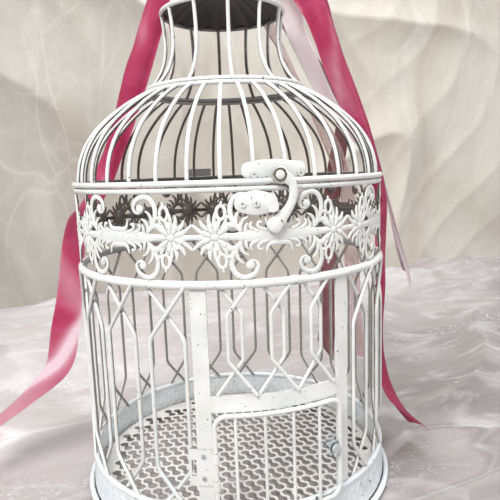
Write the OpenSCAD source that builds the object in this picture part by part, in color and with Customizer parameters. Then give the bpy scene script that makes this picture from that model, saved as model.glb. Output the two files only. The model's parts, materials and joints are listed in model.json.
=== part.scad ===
// Round birdcage card box: wire cage with a door, hinged dome lid with a hook latch, ribbon bow on top.
// Origin: middle of the foot, on the table. +Z up, -Y to the front, where the latch and the door are.

/* [Cage] */
// Outer diameter of the lid ring
cage_d = 270; // [250:1:300]
// Height of the lid ring's middle above the table
wall_h = 270; // [262:1:300]
// Height of the pierced band, from ring to ring
band_h = 59.4; // [56:0.2:62]
// Thickness of the pierced band's sheet
band_t = 1; // [0.8:0.1:1.4]
// Number of motifs round the pierced band
motif_count = 7; // [6:1:8]
// Wire diameter of the wall, dome and neck bars
bar_d = 3; // [2.4:0.1:3.4]
// Wire diameter of the lid ring and of the ring that it shuts on
ring_d = 4.2; // [3.6:0.1:4.8]
// Wire diameter of the ring below the pierced band
girdle_d = 6.4; // [5.6:0.1:7]
// Wire diameter of the foot ring
foot_d = 5; // [4:0.1:6]
// Gap between the lid ring and the ring that it shuts on
lid_gap = 0.3; // [0.2:0.1:0.6]

/* [Wall wires] */
// Number of crossed wire pairs round the wall
pair_count = 17; // [15:1:19]
// Distance between the upright stretches of one pair
pair_w = 26; // [20:0.5:27]
// Angle of a slanted stretch from upright
pair_slant = 37; // [32:1:42]
// Bend radius of a wall wire
pair_bend_r = 14; // [8:0.5:15]
// Number of wire pairs above the door
over_count = 3; // [2:1:3]
// Angle from the middle of a post to the first wire pair beyond it
pair_start = 10.6; // [9.8:0.1:12]
// Distance between the upright stretches of a pair above the door
over_w = 10; // [8:0.5:12]
// Bend radius of a wire above the door
over_bend_r = 6; // [4:0.5:7]

/* [Base] */
// Height of the base band, to the middle of its rolled rim
base_h = 32.3; // [28:0.1:36]
// Wire diameter of the rolled rim
rim_d = 4.4; // [3.8:0.1:5]
// Sheet thickness of the base band
base_t = 1; // [0.8:0.1:1.4]
// How far the base band flares out towards the table
base_flare = 2.2; // [1.5:0.1:5]
// Width of the flat flange that stands on the table
flange_w = 8; // [5:0.5:12]
// Height of the floor's top above the table
floor_z = 9; // [8.4:0.1:12]
// Thickness of the floor
floor_t = 1.2; // [0.8:0.1:2]
// Wire diameter of the ring that carries the floor
floor_ring_d = 4; // [3:0.1:5]
// Length of one opening in the floor
slot_l = 13; // [10:0.5:14]
// Width of one opening in the floor
slot_w = 5; // [3:0.5:5.5]
// Metal left between the openings of the floor
slot_gap = 5.5; // [4:0.5:8]

/* [Door] */
// Azimuth of the middle of the door
door_turn = -1.8; // [-6:0.1:6]
// Angle from the middle of the door to the middle of each post
post_angle = 23.9; // [21:0.1:26]
// Width of the door posts
strip_w = 11.6; // [10:0.1:13]
// Thickness of the door posts and the lintel
strip_t = 1.6; // [1.2:0.1:2]
// Height of the lintel strip
lintel_h = 12; // [10:0.5:14]
// Height of the lintel's top above the table
lintel_z = 121; // [116:0.5:126]
// Wire diameter of the door frame
frame_d = 3.4; // [3:0.1:3.8]
// Wire diameter of the door's bars
door_bar_d = 2.4; // [2:0.1:2.8]
// Number of bars in the door
door_bar_count = 4; // [3:1:5]
// Corner radius of the door frame
frame_bend_r = 9; // [7:0.5:11]
// Gap between the door's wires and the base rim that they pass in front of
door_gap = 0.6; // [0.4:0.1:2]
// How far the door's top wire laps over the lintel
door_lap = 1.2; // [0.5:0.1:3]
// Height of the door's bottom wire below the middle of the rim
door_drop = 0.8; // [0:0.1:2]
// Gap from a post's edge to the middle of the door's upright wire
door_in = 2.7; // [2.4:0.1:4]
// How far the hinge plate stands over the post's edge
plate_over = 1; // [0.8:0.1:1.4]
// Height of the hinge plate
hinge_plate_h = 28; // [24:1:32]
// Width of the hinge plate, from its free edge to the door's wire
hinge_plate_w = 19; // [17:0.5:21]
// Thickness of the hinge plate
hinge_plate_t = 0.9; // [0.7:0.1:1.2]
// Radial clearance of a pin or a wire that turns in its hole
turn_fit = 0.06; // [0.02:0.01:0.1]

/* [Lid] */
// Height of the dome, from the lid ring to the neck ring
dome_h = 74.2; // [68:0.2:80]
// Radius of the dome's lower curve
dome_low_r = 64; // [56:1:70]
// Number of bars in the dome
dome_count = 36; // [24:2:40]
// Wire diameter of the neck and cap rings
neck_ring_d = 3.6; // [3.2:0.1:4.2]
// Outer diameter of the neck ring
neck_d = 140.8; // [132:0.2:150]
// Number of bars in the neck
neck_count = 12; // [10:1:16]
// Radius of the neck at its waist
waist_r = 50; // [48:0.5:51]
// Height of the waist above the neck ring
waist_up = 36; // [32:1:40]
// Height of the neck, from the lower neck ring to the cap rim
neck_h = 66.6; // [62:0.2:72]
// Outer diameter of the cap rim
cap_d = 108.4; // [106:0.2:112]
// Height of the fluted cap
cap_h = 20; // [16:0.5:22]
// Number of flutes in the cap
flute_count = 20; // [16:1:24]
// Radius of the finial's ball
finial_r = 6; // [5:0.2:7]
// Inner radius of the top eye
eye_r = 9.2; // [9:0.1:11]
// Wire diameter of the top eye
eye_d = 3.6; // [3:0.1:4]

/* [Latch] */
// Width of the latch plate on the lid
latch_plate_w = 43; // [40:0.5:48]
// Height of the latch plate on the lid
latch_plate_h = 11.6; // [10:0.2:14]
// Thickness of the latch plates
latch_plate_t = 1.4; // [1:0.1:1.8]
// Radius of the hook's curve
hook_r = 17; // [16:0.5:18]
// Width of the hook's band
hook_w = 6.2; // [5:0.2:7]
// Thickness of the hook
hook_t = 2; // [1.6:0.1:2.4]
// Radius of the hook's pivot pin
hook_pin_r = 1.5; // [1.2:0.1:1.8]
// Width of the strike plate on the cage
strike_w = 26; // [24:0.5:28]
// Height of the strike plate on the cage
strike_h = 15; // [13:0.5:17]
// Radius of the strike stud's head
stud_head_r = 4; // [3:0.1:4.5]

/* [Lid hinge] */
// Diameter of the lid hinge's pin
pin_d = 2.6; // [2:0.1:3]
// Outer diameter of the lid hinge's knuckles
knuckle_d = 5.6; // [5:0.1:6]
// Length of each knuckle
knuckle_l = 10; // [8:0.5:12]
// Thickness of the lid's hinge leaf
leaf_t = 1.2; // [1:0.1:1.6]
// Height of each hinge leaf
leaf_h = 9; // [7:0.5:11]

/* [Ribbons] */
// Width of the two raspberry ribbons
satin_w = 36; // [30:1:38]
// Width of the white ribbon
white_w = 20; // [16:1:24]
// Width of the dusty pink ribbon
dusty_w = 24; // [20:1:26]
// Width of the lace ribbon
lace_w = 22; // [18:1:24]
// Thickness of a ribbon
ribbon_t = 0.8; // [0.6:0.1:1]
// Radius of the ribbon roll that is threaded through the top eye
core_r = 6.6; // [6:0.1:8]

/* [Hidden] */
$fn = 64;
weld = 0.3;
band_flats = 4;
motif_l = 59.4;
punch_gap = 0.4;
lay_gap = 0.1;
seam = 0.01;
running = 0.3;
finish = "whitesmoke";
steel = "lightsteelblue";
raspberry = "palevioletred";

lid_r = (cage_d - ring_d) / 2;
lid_out_r = cage_d / 2;
top_ring_r = lid_r - 1;
top_ring_z = wall_h - ring_d - lid_gap;
band_top = top_ring_z - ring_d / 2;
band_bottom = band_top - band_h;
girdle_r = lid_r - 0.9;
girdle_z = band_bottom - girdle_d / 2;
band_r = top_ring_r + band_t / 2;
wall_r = girdle_r - 0.5;
rim_r = wall_r + 1.4;
base_top_r = rim_r + base_t / 2;
base_foot_r = base_top_r + base_flare;
foot_r = base_foot_r + running + foot_d / 2;
floor_ring_z = floor_z - floor_t - floor_ring_d / 2;
base_in_r = base_foot_r - base_t - base_flare * floor_ring_z / base_h;
floor_ring_r = base_in_r + weld - floor_ring_d / 2;
floor_r = floor_ring_r + 0.6;
wall_bottom = base_h;

post_outer_r = wall_r + strip_t / 2;
edge_angle = post_angle - asin(strip_w / 2 / wall_r);
loop_r = frame_d / 2 + turn_fit + hinge_plate_t;
hinge_angle = edge_angle - atan(door_in / wall_r);
door_r = rim_r + rim_d / 2 + door_gap + frame_d / 2;
hinge_r = norm([door_r, frame_bend_r]);
bend_angle = atan(frame_bend_r / door_r);
bar_turn = hinge_angle - bend_angle;
door_bottom = base_h - door_drop;
door_top = lintel_z - lintel_h - frame_d / 2 + door_lap;
bar_shift = -0.9;
door_bar_step = 2 * hinge_angle / (door_bar_count + 0.6);
hinge_plate_z = base_h + 20.7;
door_latch_z = base_h + 38.7;
door_latch_in = 6.5;
door_pin_r = 1.5;

dome_r = lid_r - ring_d / 2 - bar_d / 2 + weld;
dome_foot = 1.4;
neck_low_r = (neck_d - neck_ring_d) / 2;
neck_low_z = wall_h + dome_h;
neck_up_r = neck_low_r - 1.6;
neck_up_z = neck_low_z + neck_ring_d - 0.3;
cap_rim_r = (cap_d - neck_ring_d) / 2;
cap_rim_z = neck_low_z + neck_h;
cap_top_z = cap_rim_z + cap_h;
cap_t = 1;
finial_z = cap_top_z + finial_r;
eye_z = finial_z + finial_r + eye_r + eye_d - weld;

latch_turn = -0.6;
plate_in_r = lid_r - 1.6;
pivot_z = wall_h + 3.9;
hook_back_r = lid_out_r + 0.4;
hook_front_r = hook_back_r + hook_t;
strike_in_r = band_r + band_t / 2;
strike_z = band_top - strike_h;
stud_x = -6;
stud_drop = 20.5;

leaf_in_y = lid_out_r - 0.2;
hinge_y = leaf_in_y + knuckle_d / 2;
hinge_z = wall_h - ring_d / 2 - lid_gap / 2;
knuckle_gap = 0.4;

// ---- helpers ----

// A wire ring about the Z axis
module wire_ring(r, z, d) {
    translate([0, 0, z]) rotate_extrude() translate([r, 0]) circle(d = d);
}

// A band turned about the Z axis, from angle a0 to a1; azimuth 0 is the front
module turned_strip(r0, r1, z0, z1, a0, a1) {
    translate([0, 0, z0]) rotate([0, 0, a0 - 90]) rotate_extrude(angle = a1 - a0)
        translate([r0, 0]) square([r1 - r0, z1 - z0]);
}

// A straight wire between two points of the XZ plane, a hair short of the bends that it meets
module rod(p, q, d) {
    translate([p[0], 0, p[1]]) rotate([0, atan2(q[0] - p[0], q[1] - p[1]), 0])
        translate([0, 0, seam]) cylinder(h = norm(q - p) - 2 * seam, d = d);
}

// A bent wire in the XZ plane
module bend(c, r, a0, a1, d) {
    translate([c[0], 0, c[1]]) rotate([90, 0, 0]) rotate([0, 0, a0]) rotate_extrude(angle = a1 - a0)
        translate([r, 0]) circle(d = d);
}

// Places a piece on the wall at an azimuth, its local -Y pointing outwards
module at_wall(angle, r) {
    rotate([0, 0, angle]) translate([0, -r, 0]) children();
}

// One wire of a crossed pair: slants in from the top, crosses, runs upright, crosses back
module crossed_wire(w, slant, r, z_top, z_cross_up, z_cross_down, z_bottom, d) {
    run = w / 2 - r * (1 - cos(slant));
    drop = run / tan(slant);
    z_up = z_cross_up - drop - r * sin(slant);
    z_down = z_cross_down + drop + r * sin(slant);
    rod([(z_top - z_cross_up) * tan(slant), z_top], [-run, z_cross_up - drop], d);
    bend([-w / 2 + r, z_up], r, 180 - slant, 180, d);
    rod([-w / 2, z_up], [-w / 2, z_down], d);
    bend([-w / 2 + r, z_down], r, 180, 180 + slant, d);
    rod([-run, z_cross_down + drop], [(z_cross_down - z_bottom) * tan(slant), z_bottom], d);
}

// A crossed pair, one wire lying just in front of the other
module crossed_pair(w, slant, r, z_top, z_cross_up, z_cross_down, z_bottom, d) {
    lap = (d + lay_gap) / 2;
    translate([0, -lap, 0]) crossed_wire(w, slant, r, z_top, z_cross_up, z_cross_down, z_bottom, d);
    translate([0, lap, 0]) mirror([1, 0, 0])
        crossed_wire(w, slant, r, z_top, z_cross_up, z_cross_down, z_bottom, d);
}

// ---- cage ----

module foot_ring() {
    color(finish) wire_ring(foot_r, foot_d / 2, foot_d);
}

module base_band() {
    color(finish) rotate_extrude() polygon([
        [base_foot_r - flange_w, 0], [base_foot_r, 0], [base_top_r, base_h], [base_top_r - base_t, base_h],
        [base_foot_r - base_t, base_t], [base_foot_r - flange_w, base_t]]);
}

module base_rim() {
    color(finish) wire_ring(rim_r, base_h, rim_d);
}

module floor_ring() {
    color(finish) wire_ring(floor_ring_r, floor_ring_z, floor_ring_d);
}

// One S-shaped opening of the floor
module floor_slot() {
    half = slot_l / 2 - slot_w / 2;
    for (side = [-1, 1]) translate([side * half, side * slot_w * 0.3]) circle(d = slot_w);
    rotate([0, 0, atan(slot_w * 0.3 / half)]) square([2 * half, slot_w * 0.55], center = true);
}

module floor_plate() {
    pitch_x = slot_l + slot_gap;
    pitch_y = slot_w + slot_gap;
    rows = floor(floor_r / pitch_y);
    color(finish) translate([0, 0, floor_z - floor_t]) linear_extrude(floor_t) difference() {
        circle(r = floor_r);
        for (j = [-rows : rows]) for (i = [-rows : rows]) {
            x = (i + (j % 2 == 0 ? 0 : 0.5)) * pitch_x;
            y = j * pitch_y;
            if (norm([x, y]) < floor_r - slot_l / 2 - 4) translate([x, y]) floor_slot();
        }
    }
}

module wall_wires() {
    step = (360 - 2 * post_angle - 2 * pair_start) / (pair_count - 1);
    color(finish) for (k = [0 : pair_count - 1])
        at_wall(door_turn + post_angle + pair_start + k * step, wall_r)
            crossed_pair(pair_w, pair_slant, pair_bend_r, girdle_z, girdle_z - 22.3, base_h + 12.7,
                wall_bottom, bar_d);
}

module over_door_wires() {
    step = 2 * edge_angle / (over_count + 0.25);
    color(finish) for (k = [0 : over_count - 1])
        at_wall(door_turn + (k - (over_count - 1) / 2) * step, wall_r)
            crossed_pair(over_w, pair_slant, over_bend_r, girdle_z, girdle_z - 14.5, lintel_z + 18.5,
                lintel_z, bar_d * 0.9);
}

module door_post(side) {
    at_wall(door_turn + side * post_angle, wall_r) translate([-strip_w / 2, -strip_t / 2, base_h])
        cube([strip_w, strip_t, girdle_z - base_h]);
}

module door_post_left() {
    color(finish) door_post(-1);
}

module door_post_right() {
    color(finish) door_post(1);
}

module door_lintel() {
    color(finish) turned_strip(wall_r - strip_t / 2, wall_r + strip_t / 2, lintel_z - lintel_h, lintel_z,
        door_turn - edge_angle - 0.15, door_turn + edge_angle + 0.15);
}

module girdle_ring() {
    color(finish) wire_ring(girdle_r, girdle_z, girdle_d);
}

// Half of one motif of the pierced band as drawn, from the middle of its bar (x = 0) to its rosette's far side
module motif_half() {
    half = motif_l;
    top = motif_l / 2 + weld;
    scroll = 9;
    scroll_x = half * 0.4;
    scroll_y = top - scroll - 1.5;
    translate([-weld, -3]) square([half * 0.4, 6]);
    translate([half * 0.36, -1.5]) square([half * 0.3, 3]);
    translate([half * 0.78, 0]) circle(r = 10, $fn = 12);
    translate([half - 6, -2]) square([6 + weld, 4]);
    for (side = [-1, 1]) mirror([0, side < 0 ? 1 : 0]) {
        translate([-weld, 7.6]) square([9 + weld, 1.8]);
        translate([9, 5.8]) circle(r = 2.8, $fn = 12);
        translate([13, 5.2]) circle(r = 3.1, $fn = 12);
        translate([scroll_x - 4.5, scroll_y]) circle(r = 3.5, $fn = 12);
        translate([scroll_x - 6.5, scroll_y]) square([3, scroll]);
        difference() {
            translate([scroll_x, scroll_y]) circle(r = scroll + 1.8, $fn = 12);
            translate([scroll_x, scroll_y]) circle(r = scroll - 1.8, $fn = 12);
            translate([scroll_x - 2 * scroll, scroll_y - 2 * scroll]) square([1.35 * scroll, 3.2 * scroll]);
            translate([scroll_x - 2 * scroll, scroll_y - 2 * scroll]) square([2 * scroll, 2 * scroll]);
        }
        translate([half * 0.56, 1]) rotate([0, 0, 70]) square([12, 3]);
        difference() {
            translate([half * 0.66, scroll_y]) circle(r = 5.5, $fn = 12);
            translate([half * 0.66, scroll_y]) circle(r = 2.4, $fn = 12);
        }
        translate([half * 0.7, 8]) square([3, 8]);
        translate([half * 0.66 - 1.5, scroll_y + 4.6]) square([3, top - scroll_y - 4.6]);
        translate([scroll_x - 2, top - 3]) square([4, 3]);
        translate([half * 0.84, 7]) rotate([0, 0, 60]) square([14, 2.6]);
        translate([half * 0.93, top - 10]) circle(r = 3, $fn = 12);
        translate([half * 0.93 - 1.5, top - 10]) square([3, 10]);
    }
}

// The band's sheet, its round wall laid as narrow flats that meet at each motif's ends
module band_sheet() {
    step = 180 / motif_count / band_flats;
    function ring(r) = [for (i = [0 : 2 * motif_count * band_flats - 1])
        r * [sin(latch_turn + i * step), -cos(latch_turn + i * step)]];
    translate([0, 0, band_bottom - weld]) linear_extrude(band_h + 2 * weld) difference() {
        polygon(ring(band_r + band_t / 2));
        polygon(ring(band_r - band_t / 2));
    }
}

module filigree_band() {
    half_turn = 180 / motif_count;
    reach = tan(half_turn / 2) * band_r;
    color(finish) intersection() {
        for (k = [0 : motif_count - 1]) for (side = [-1, 1])
            rotate([90, 0, latch_turn + 2 * k * half_turn + side * half_turn / 2])
                translate([-side * reach, band_bottom + band_h / 2, band_r - 8 * band_t])
                    linear_extrude(12 * band_t) offset(delta = -punch_gap / 2) offset(delta = punch_gap / 2)
                        scale([side * 2 * reach / motif_l, band_h / motif_l]) motif_half();
        band_sheet();
    }
}

module body_top_ring() {
    color(finish) wire_ring(top_ring_r, top_ring_z, ring_d);
}

// Azimuth of a distance along the front of the strike plate
function strike_turn(x) = latch_turn + x / strike_in_r * 180 / PI;

module strike_plate() {
    color(finish) turned_strip(strike_in_r, strike_in_r + latch_plate_t, strike_z, strike_z + strike_h,
        strike_turn(stud_x - strike_w + 5), strike_turn(stud_x + 5));
}

// A domed screw or rivet head on the wall, with a cross slot
module screw_head(r, h) {
    rotate([90, 0, 0]) difference() {
        cylinder(h = h, r = r);
        translate([0, 0, h]) cube([r * 1.3, r * 0.3, h], center = true);
        translate([0, 0, h]) cube([r * 0.3, r * 1.3, h], center = true);
    }
}

module strike_screws() {
    color(steel) for (x = [-19, -10])
        at_wall(strike_turn(stud_x + x), strike_in_r + latch_plate_t) translate([0, 0, strike_z + 7])
            screw_head(2.2, 1.1);
}

module strike_stud() {
    shaft_l = hook_front_r + 0.6 - strike_in_r - latch_plate_t;
    color(steel) at_wall(strike_turn(stud_x), strike_in_r + latch_plate_t)
        translate([0, 0, pivot_z - stud_drop]) rotate([90, 0, 0]) {
            cylinder(h = shaft_l, r = 1.9);
            translate([0, 0, shaft_l]) cylinder(h = 1.6, r = stud_head_r);
        }
}

// The plate on the left post, with the two loops that hold the door's wire
module door_hinge_plate() {
    loop_h = 7;
    left = strip_w / 2 + plate_over - hinge_plate_w;
    color(finish) difference() {
        union() {
            at_wall(door_turn - post_angle, post_outer_r)
                translate([left, -hinge_plate_t, hinge_plate_z])
                cube([hinge_plate_w, hinge_plate_t, hinge_plate_h]);
            for (z = [0, hinge_plate_h - loop_h]) at_wall(door_turn - hinge_angle, hinge_r)
                translate([0, 0, hinge_plate_z + z]) {
                    cylinder(h = loop_h, r = loop_r);
                    translate([-loop_r, 0, 0])
                        cube([hinge_plate_t, hinge_r - post_outer_r - hinge_plate_t / 2, loop_h]);
                }
        }
        at_wall(door_turn - hinge_angle, hinge_r)
            translate([0, 0, hinge_plate_z - 1]) cylinder(h = hinge_plate_h + 2, r = frame_d / 2 + turn_fit);
        at_wall(door_turn - post_angle, post_outer_r)
            translate([left + 2, -2, hinge_plate_z + 7]) cube([3.6, 4, 13]);
    }
}

module door_hinge_rivets() {
    color(steel) for (z = [5.5, hinge_plate_h - 5.5])
        at_wall(door_turn - post_angle, post_outer_r + hinge_plate_t)
            translate([-1, 0, hinge_plate_z + z]) screw_head(1.7, 0.7);
}

// Leaf below the joint, with the middle knuckle
module cage_hinge_leaf() {
    width = 3 * knuckle_l + 2 * knuckle_gap;
    leaf_top = hinge_z - knuckle_d / 2 - knuckle_gap;
    in_y = top_ring_r + ring_d / 2 - weld;
    out_y = leaf_in_y + leaf_t;
    color(finish) difference() {
        union() {
            translate([-width / 2, in_y, leaf_top - leaf_h]) cube([width, out_y - in_y, leaf_h]);
            translate([-knuckle_l / 2, leaf_in_y + 0.2, leaf_top - leaf_h])
                cube([knuckle_l, leaf_t - 0.2, hinge_z - leaf_top + leaf_h]);
            translate([-knuckle_l / 2, hinge_y, hinge_z]) rotate([0, 90, 0])
                cylinder(h = knuckle_l, d = knuckle_d);
        }
        translate([-width, hinge_y, hinge_z]) rotate([0, 90, 0])
            cylinder(h = 2 * width, d = pin_d + 2 * turn_fit);
        wire_ring(lid_r, wall_h, ring_d + 2 * running);
    }
}

module lid_hinge_pin() {
    half = 1.5 * knuckle_l + knuckle_gap + 0.3;
    color(steel) translate([0, hinge_y, hinge_z]) rotate([0, 90, 0]) {
        translate([0, 0, -half - 1]) cylinder(h = 2 * half + 2, d = pin_d);
        for (side = [-1, 1]) translate([0, 0, side * (half + 0.5) - 0.5]) cylinder(h = 1, d = pin_d + 1.6);
    }
}

// ---- lid ----

module lid_ring() {
    color(finish) wire_ring(lid_r, wall_h, ring_d);
}

// Leaf above the joint, with the two outer knuckles
module lid_hinge_leaf() {
    width = 3 * knuckle_l + 2 * knuckle_gap;
    leaf_foot = hinge_z + knuckle_d / 2 + knuckle_gap;
    color(finish) difference() {
        union() {
            translate([-width / 2, leaf_in_y, leaf_foot]) cube([width, leaf_t, leaf_h]);
            for (side = [-1, 1]) translate([side * (knuckle_l + knuckle_gap) - knuckle_l / 2, 0, 0]) {
                translate([0, leaf_in_y, hinge_z]) cube([knuckle_l, leaf_t, leaf_foot - hinge_z + 1]);
                translate([0, hinge_y, hinge_z]) rotate([0, 90, 0]) cylinder(h = knuckle_l, d = knuckle_d);
            }
        }
        translate([-width, hinge_y, hinge_z]) rotate([0, 90, 0])
            cylinder(h = 2 * width, d = pin_d + 2 * turn_fit);
    }
}

// One dome bar in the XZ plane: a tight lower curve, then a wide upper one, tangent where they meet
module dome_bar() {
    low_turn = 45;
    join_x = dome_r - dome_low_r * (1 - cos(low_turn));
    join_z = dome_low_r * sin(low_turn);
    dx = join_x - neck_low_r;
    dz = dome_h - join_z;
    half_turn = 90 - low_turn - atan2(dz, dx);
    high_r = norm([dx, dz]) / (2 * sin(half_turn));
    foot_turn = asin(dome_foot / dome_low_r);
    translate([0, 0, wall_h]) {
        bend([dome_r - dome_low_r, 0], dome_low_r, -foot_turn, low_turn, bar_d);
        bend([join_x - high_r * cos(low_turn), join_z - high_r * sin(low_turn)], high_r,
            low_turn, low_turn + 2 * half_turn, bar_d);
    }
}

module dome_bars() {
    color(finish) for (k = [0 : dome_count - 1]) rotate([0, 0, (k + 0.25) * 360 / dome_count - 90]) dome_bar();
}

module neck_ring_lower() {
    color(finish) wire_ring(neck_low_r, neck_low_z, neck_ring_d);
}

module neck_ring_upper() {
    color(finish) wire_ring(neck_up_r, neck_up_z, neck_ring_d);
}

// One neck bar in the XZ plane: curves in to the waist, runs straight, then out to the cap
module neck_bar() {
    waist_z = neck_up_z + waist_up;
    dx = neck_up_r - waist_r;
    low_r = (dx * dx + waist_up * waist_up) / (2 * dx);
    straight = 2;
    up = cap_rim_z - waist_z - straight;
    out = cap_rim_r - waist_r;
    high_r = (out * out + up * up) / (2 * out);
    bend([waist_r + low_r, waist_z], low_r, 180, 180 + asin(waist_up / low_r), bar_d);
    rod([waist_r, waist_z], [waist_r, waist_z + straight], bar_d);
    bend([waist_r + high_r, waist_z + straight], high_r, 180 - asin(up / high_r), 180, bar_d);
}

module neck_bars() {
    color(finish) for (k = [0 : neck_count - 1]) rotate([0, 0, (k + 0.67) * 360 / neck_count - 90]) neck_bar();
}

module cap_rim() {
    color(finish) wire_ring(cap_rim_r, cap_rim_z, neck_ring_d);
}

// Height and flute depth of the cap at a share of its radius
function cap_z(s) = cap_rim_z + cap_h * (1 - pow(s, 2.4));
function cap_flute(s) = 1.6 * s * s;
function cap_point(s, turn, lift) =
    let (r = cap_rim_r * s, wave = cap_flute(s) * cos(turn * flute_count))
    [(r - lift * s) * cos(turn), (r - lift * s) * sin(turn), cap_z(s) + wave - lift];

// The fluted sheet cap, one shell with a closed top
module cap_shell() {
    shares = [0.98, 0.86, 0.7, 0.5, 0.3, 0.12];
    n = flute_count * 4;
    rings = len(shares);
    points = concat(
        [for (s = shares) for (i = [0 : n - 1]) cap_point(s, i * 360 / n, 0)],
        [for (s = shares) for (i = [0 : n - 1]) cap_point(s, i * 360 / n, cap_t)]);
    faces = concat(
        [for (j = [0 : rings - 2]) for (i = [0 : n - 1])
            [j * n + i, (j + 1) * n + i, (j + 1) * n + (i + 1) % n, j * n + (i + 1) % n]],
        [for (j = [0 : rings - 2]) for (i = [0 : n - 1])
            [(rings + j) * n + i, (rings + j) * n + (i + 1) % n, (rings + j + 1) * n + (i + 1) % n,
                (rings + j + 1) * n + i]],
        [for (i = [0 : n - 1]) [i, (i + 1) % n, rings * n + (i + 1) % n, rings * n + i]],
        [[for (i = [0 : n - 1]) (rings - 1) * n + n - 1 - i]],
        [[for (i = [0 : n - 1]) (2 * rings - 1) * n + i]]);
    color(finish) polyhedron(points = points, faces = faces, convexity = 4);
}

module finial() {
    color(finish) {
        translate([0, 0, finial_z]) sphere(r = finial_r);
        translate([0, 0, cap_top_z - 0.2]) cylinder(h = finial_r, r = finial_r * 0.55);
        translate([0, 0, cap_top_z - 0.2]) cylinder(h = 1.6, r = finial_r * 0.95);
    }
}

module top_eye() {
    color(finish) translate([0, 0, eye_z]) rotate([0, 90, 0]) rotate_extrude()
        translate([eye_r + eye_d / 2, 0]) circle(d = eye_d);
}

module latch_plate() {
    half = latch_plate_w / 2 / plate_in_r * 180 / PI;
    foot = wall_h + ring_d / 2 - 0.7;
    color(finish) turned_strip(plate_in_r, plate_in_r + latch_plate_t, foot, foot + latch_plate_h,
        latch_turn - half, latch_turn + half);
}

module latch_screws() {
    color(steel) for (side = [-1, 1])
        at_wall(latch_turn + side * 16.3 / plate_in_r * 180 / PI, plate_in_r + latch_plate_t)
            translate([0, 0, pivot_z + 0.6]) screw_head(2.2, 1);
}

module latch_rivet() {
    face = plate_in_r + latch_plate_t;
    color(steel) at_wall(latch_turn, face) translate([0, 0, pivot_z]) rotate([90, 0, 0]) {
        cylinder(h = hook_front_r - face + 0.1, r = hook_pin_r);
        cylinder(h = hook_back_r - face - 0.1, r = hook_pin_r + 0.4);
        translate([0, 0, hook_front_r - face + 0.1]) cylinder(h = 1, r = 3.3);
        translate([0, 0, hook_front_r - face + 1.1]) cylinder(h = 0.7, r = 2.4);
    }
}

// ---- hook ----

module latch_hook() {
    cx = -6;
    color(finish) at_wall(latch_turn, hook_back_r) translate([0, 0, pivot_z]) rotate([90, 0, 0])
        linear_extrude(hook_t) difference() {
            union() {
                circle(r = 5.4);
                difference() {
                    translate([cx, -hook_r]) circle(r = hook_r + hook_w / 2);
                    translate([cx, -hook_r]) circle(r = hook_r - hook_w / 2);
                    translate([cx - 2 * hook_r, -3 * hook_r]) square([2 * hook_r, 4 * hook_r]);
                }
                translate([cx, -2 * hook_r]) circle(r = 5.2);
                translate([cx, -hook_w / 2]) square([-cx, hook_w]);
            }
            circle(r = hook_pin_r + turn_fit);
        }
}

// ---- door ----

// Upright wire at each side, with its two corner bends
module door_stiles() {
    r = frame_bend_r;
    color(finish) for (side = [-1, 1]) at_wall(door_turn + side * bar_turn, door_r) {
        bend([0, door_bottom + r], r, side < 0 ? 180 : 270, side < 0 ? 270 : 360, frame_d);
        rod([side * r, door_bottom + r], [side * r, door_top - r], frame_d);
        bend([0, door_top - r], r, side < 0 ? 90 : 0, side < 0 ? 180 : 90, frame_d);
    }
}

// Curved wires along the top and the bottom, ending face to face with the corner bends
module door_rails() {
    color(finish) for (z = [door_bottom, door_top]) translate([0, 0, z])
        rotate([0, 0, door_turn - bar_turn - 90]) rotate_extrude(angle = 2 * bar_turn)
        translate([door_r, 0]) circle(d = frame_d);
}

module door_bars() {
    color(finish) for (k = [0 : door_bar_count - 1])
        at_wall(door_turn + bar_shift + (k - (door_bar_count - 1) / 2) * door_bar_step, door_r)
            rod([0, door_bottom], [0, door_top], door_bar_d);
}

// Sheet tab on the door's free wire, with the bore that the latch pin turns in
module door_latch_bracket() {
    color(steel) at_wall(door_turn + hinge_angle, hinge_r) translate([0, 0, door_latch_z]) difference() {
        translate([-door_latch_in - 4, -0.6, -5]) cube([door_latch_in + 4 - frame_d / 2 + weld, 1.2, 10]);
        translate([-door_latch_in, 2, 0]) rotate([90, 0, 0]) cylinder(h = 4, r = door_pin_r + turn_fit);
    }
}

// Pin and the lever behind the post
module door_latch_lever() {
    back = hinge_r - (wall_r - strip_t / 2) + 0.5;
    reach = door_latch_in + frame_d / 2 + 4;
    color(steel) at_wall(door_turn + hinge_angle, hinge_r) translate([-door_latch_in, 0, door_latch_z]) {
        translate([0, back + 1.4, 0]) rotate([90, 0, 0]) cylinder(h = back + 1.4 + 1.4, r = door_pin_r);
        translate([0, back, 0]) rotate([-90, 0, 0]) cylinder(h = 1.4, r = 3);
        translate([0, back, -2.2]) cube([reach, 1.4, 4.4]);
    }
}

module door_latch_knob() {
    color(steel) at_wall(door_turn + hinge_angle, hinge_r)
        translate([-door_latch_in, -0.7, door_latch_z]) rotate([90, 0, 0]) difference() {
            union() {
                cylinder(h = 1, r = 2.4);
                translate([0, 0, 1]) cylinder(h = 2, r = 3.4);
            }
            translate([0, 0, -1]) cylinder(h = 1.7, r = door_pin_r);
        }
}

// ---- ribbons ----

ribbon_steps = 3;

function unit(v) = v / norm(v);
function xyz(p) = [p[0], p[1], p[2]];
// Direction that the ribbon's face looks in, from its azimuth and tilt
function look(p) = [cos(p[3]) * cos(p[4]), sin(p[3]) * cos(p[4]), sin(p[4])];
// Smooth curve through four stations
function curve(a, b, c, d, t) = 0.5 * (2 * b + (c - a) * t + (2 * a - 5 * b + 4 * c - d) * t * t
    + (3 * b - a - 3 * c + d) * t * t * t);
function route(s) = let (last = len(s) - 1) [
    for (i = [0 : last - 1]) for (j = [0 : ribbon_steps - 1])
        curve(s[max(i - 1, 0)], s[i], s[i + 1], s[min(i + 2, last)], j / ribbon_steps),
    s[last]];

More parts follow.
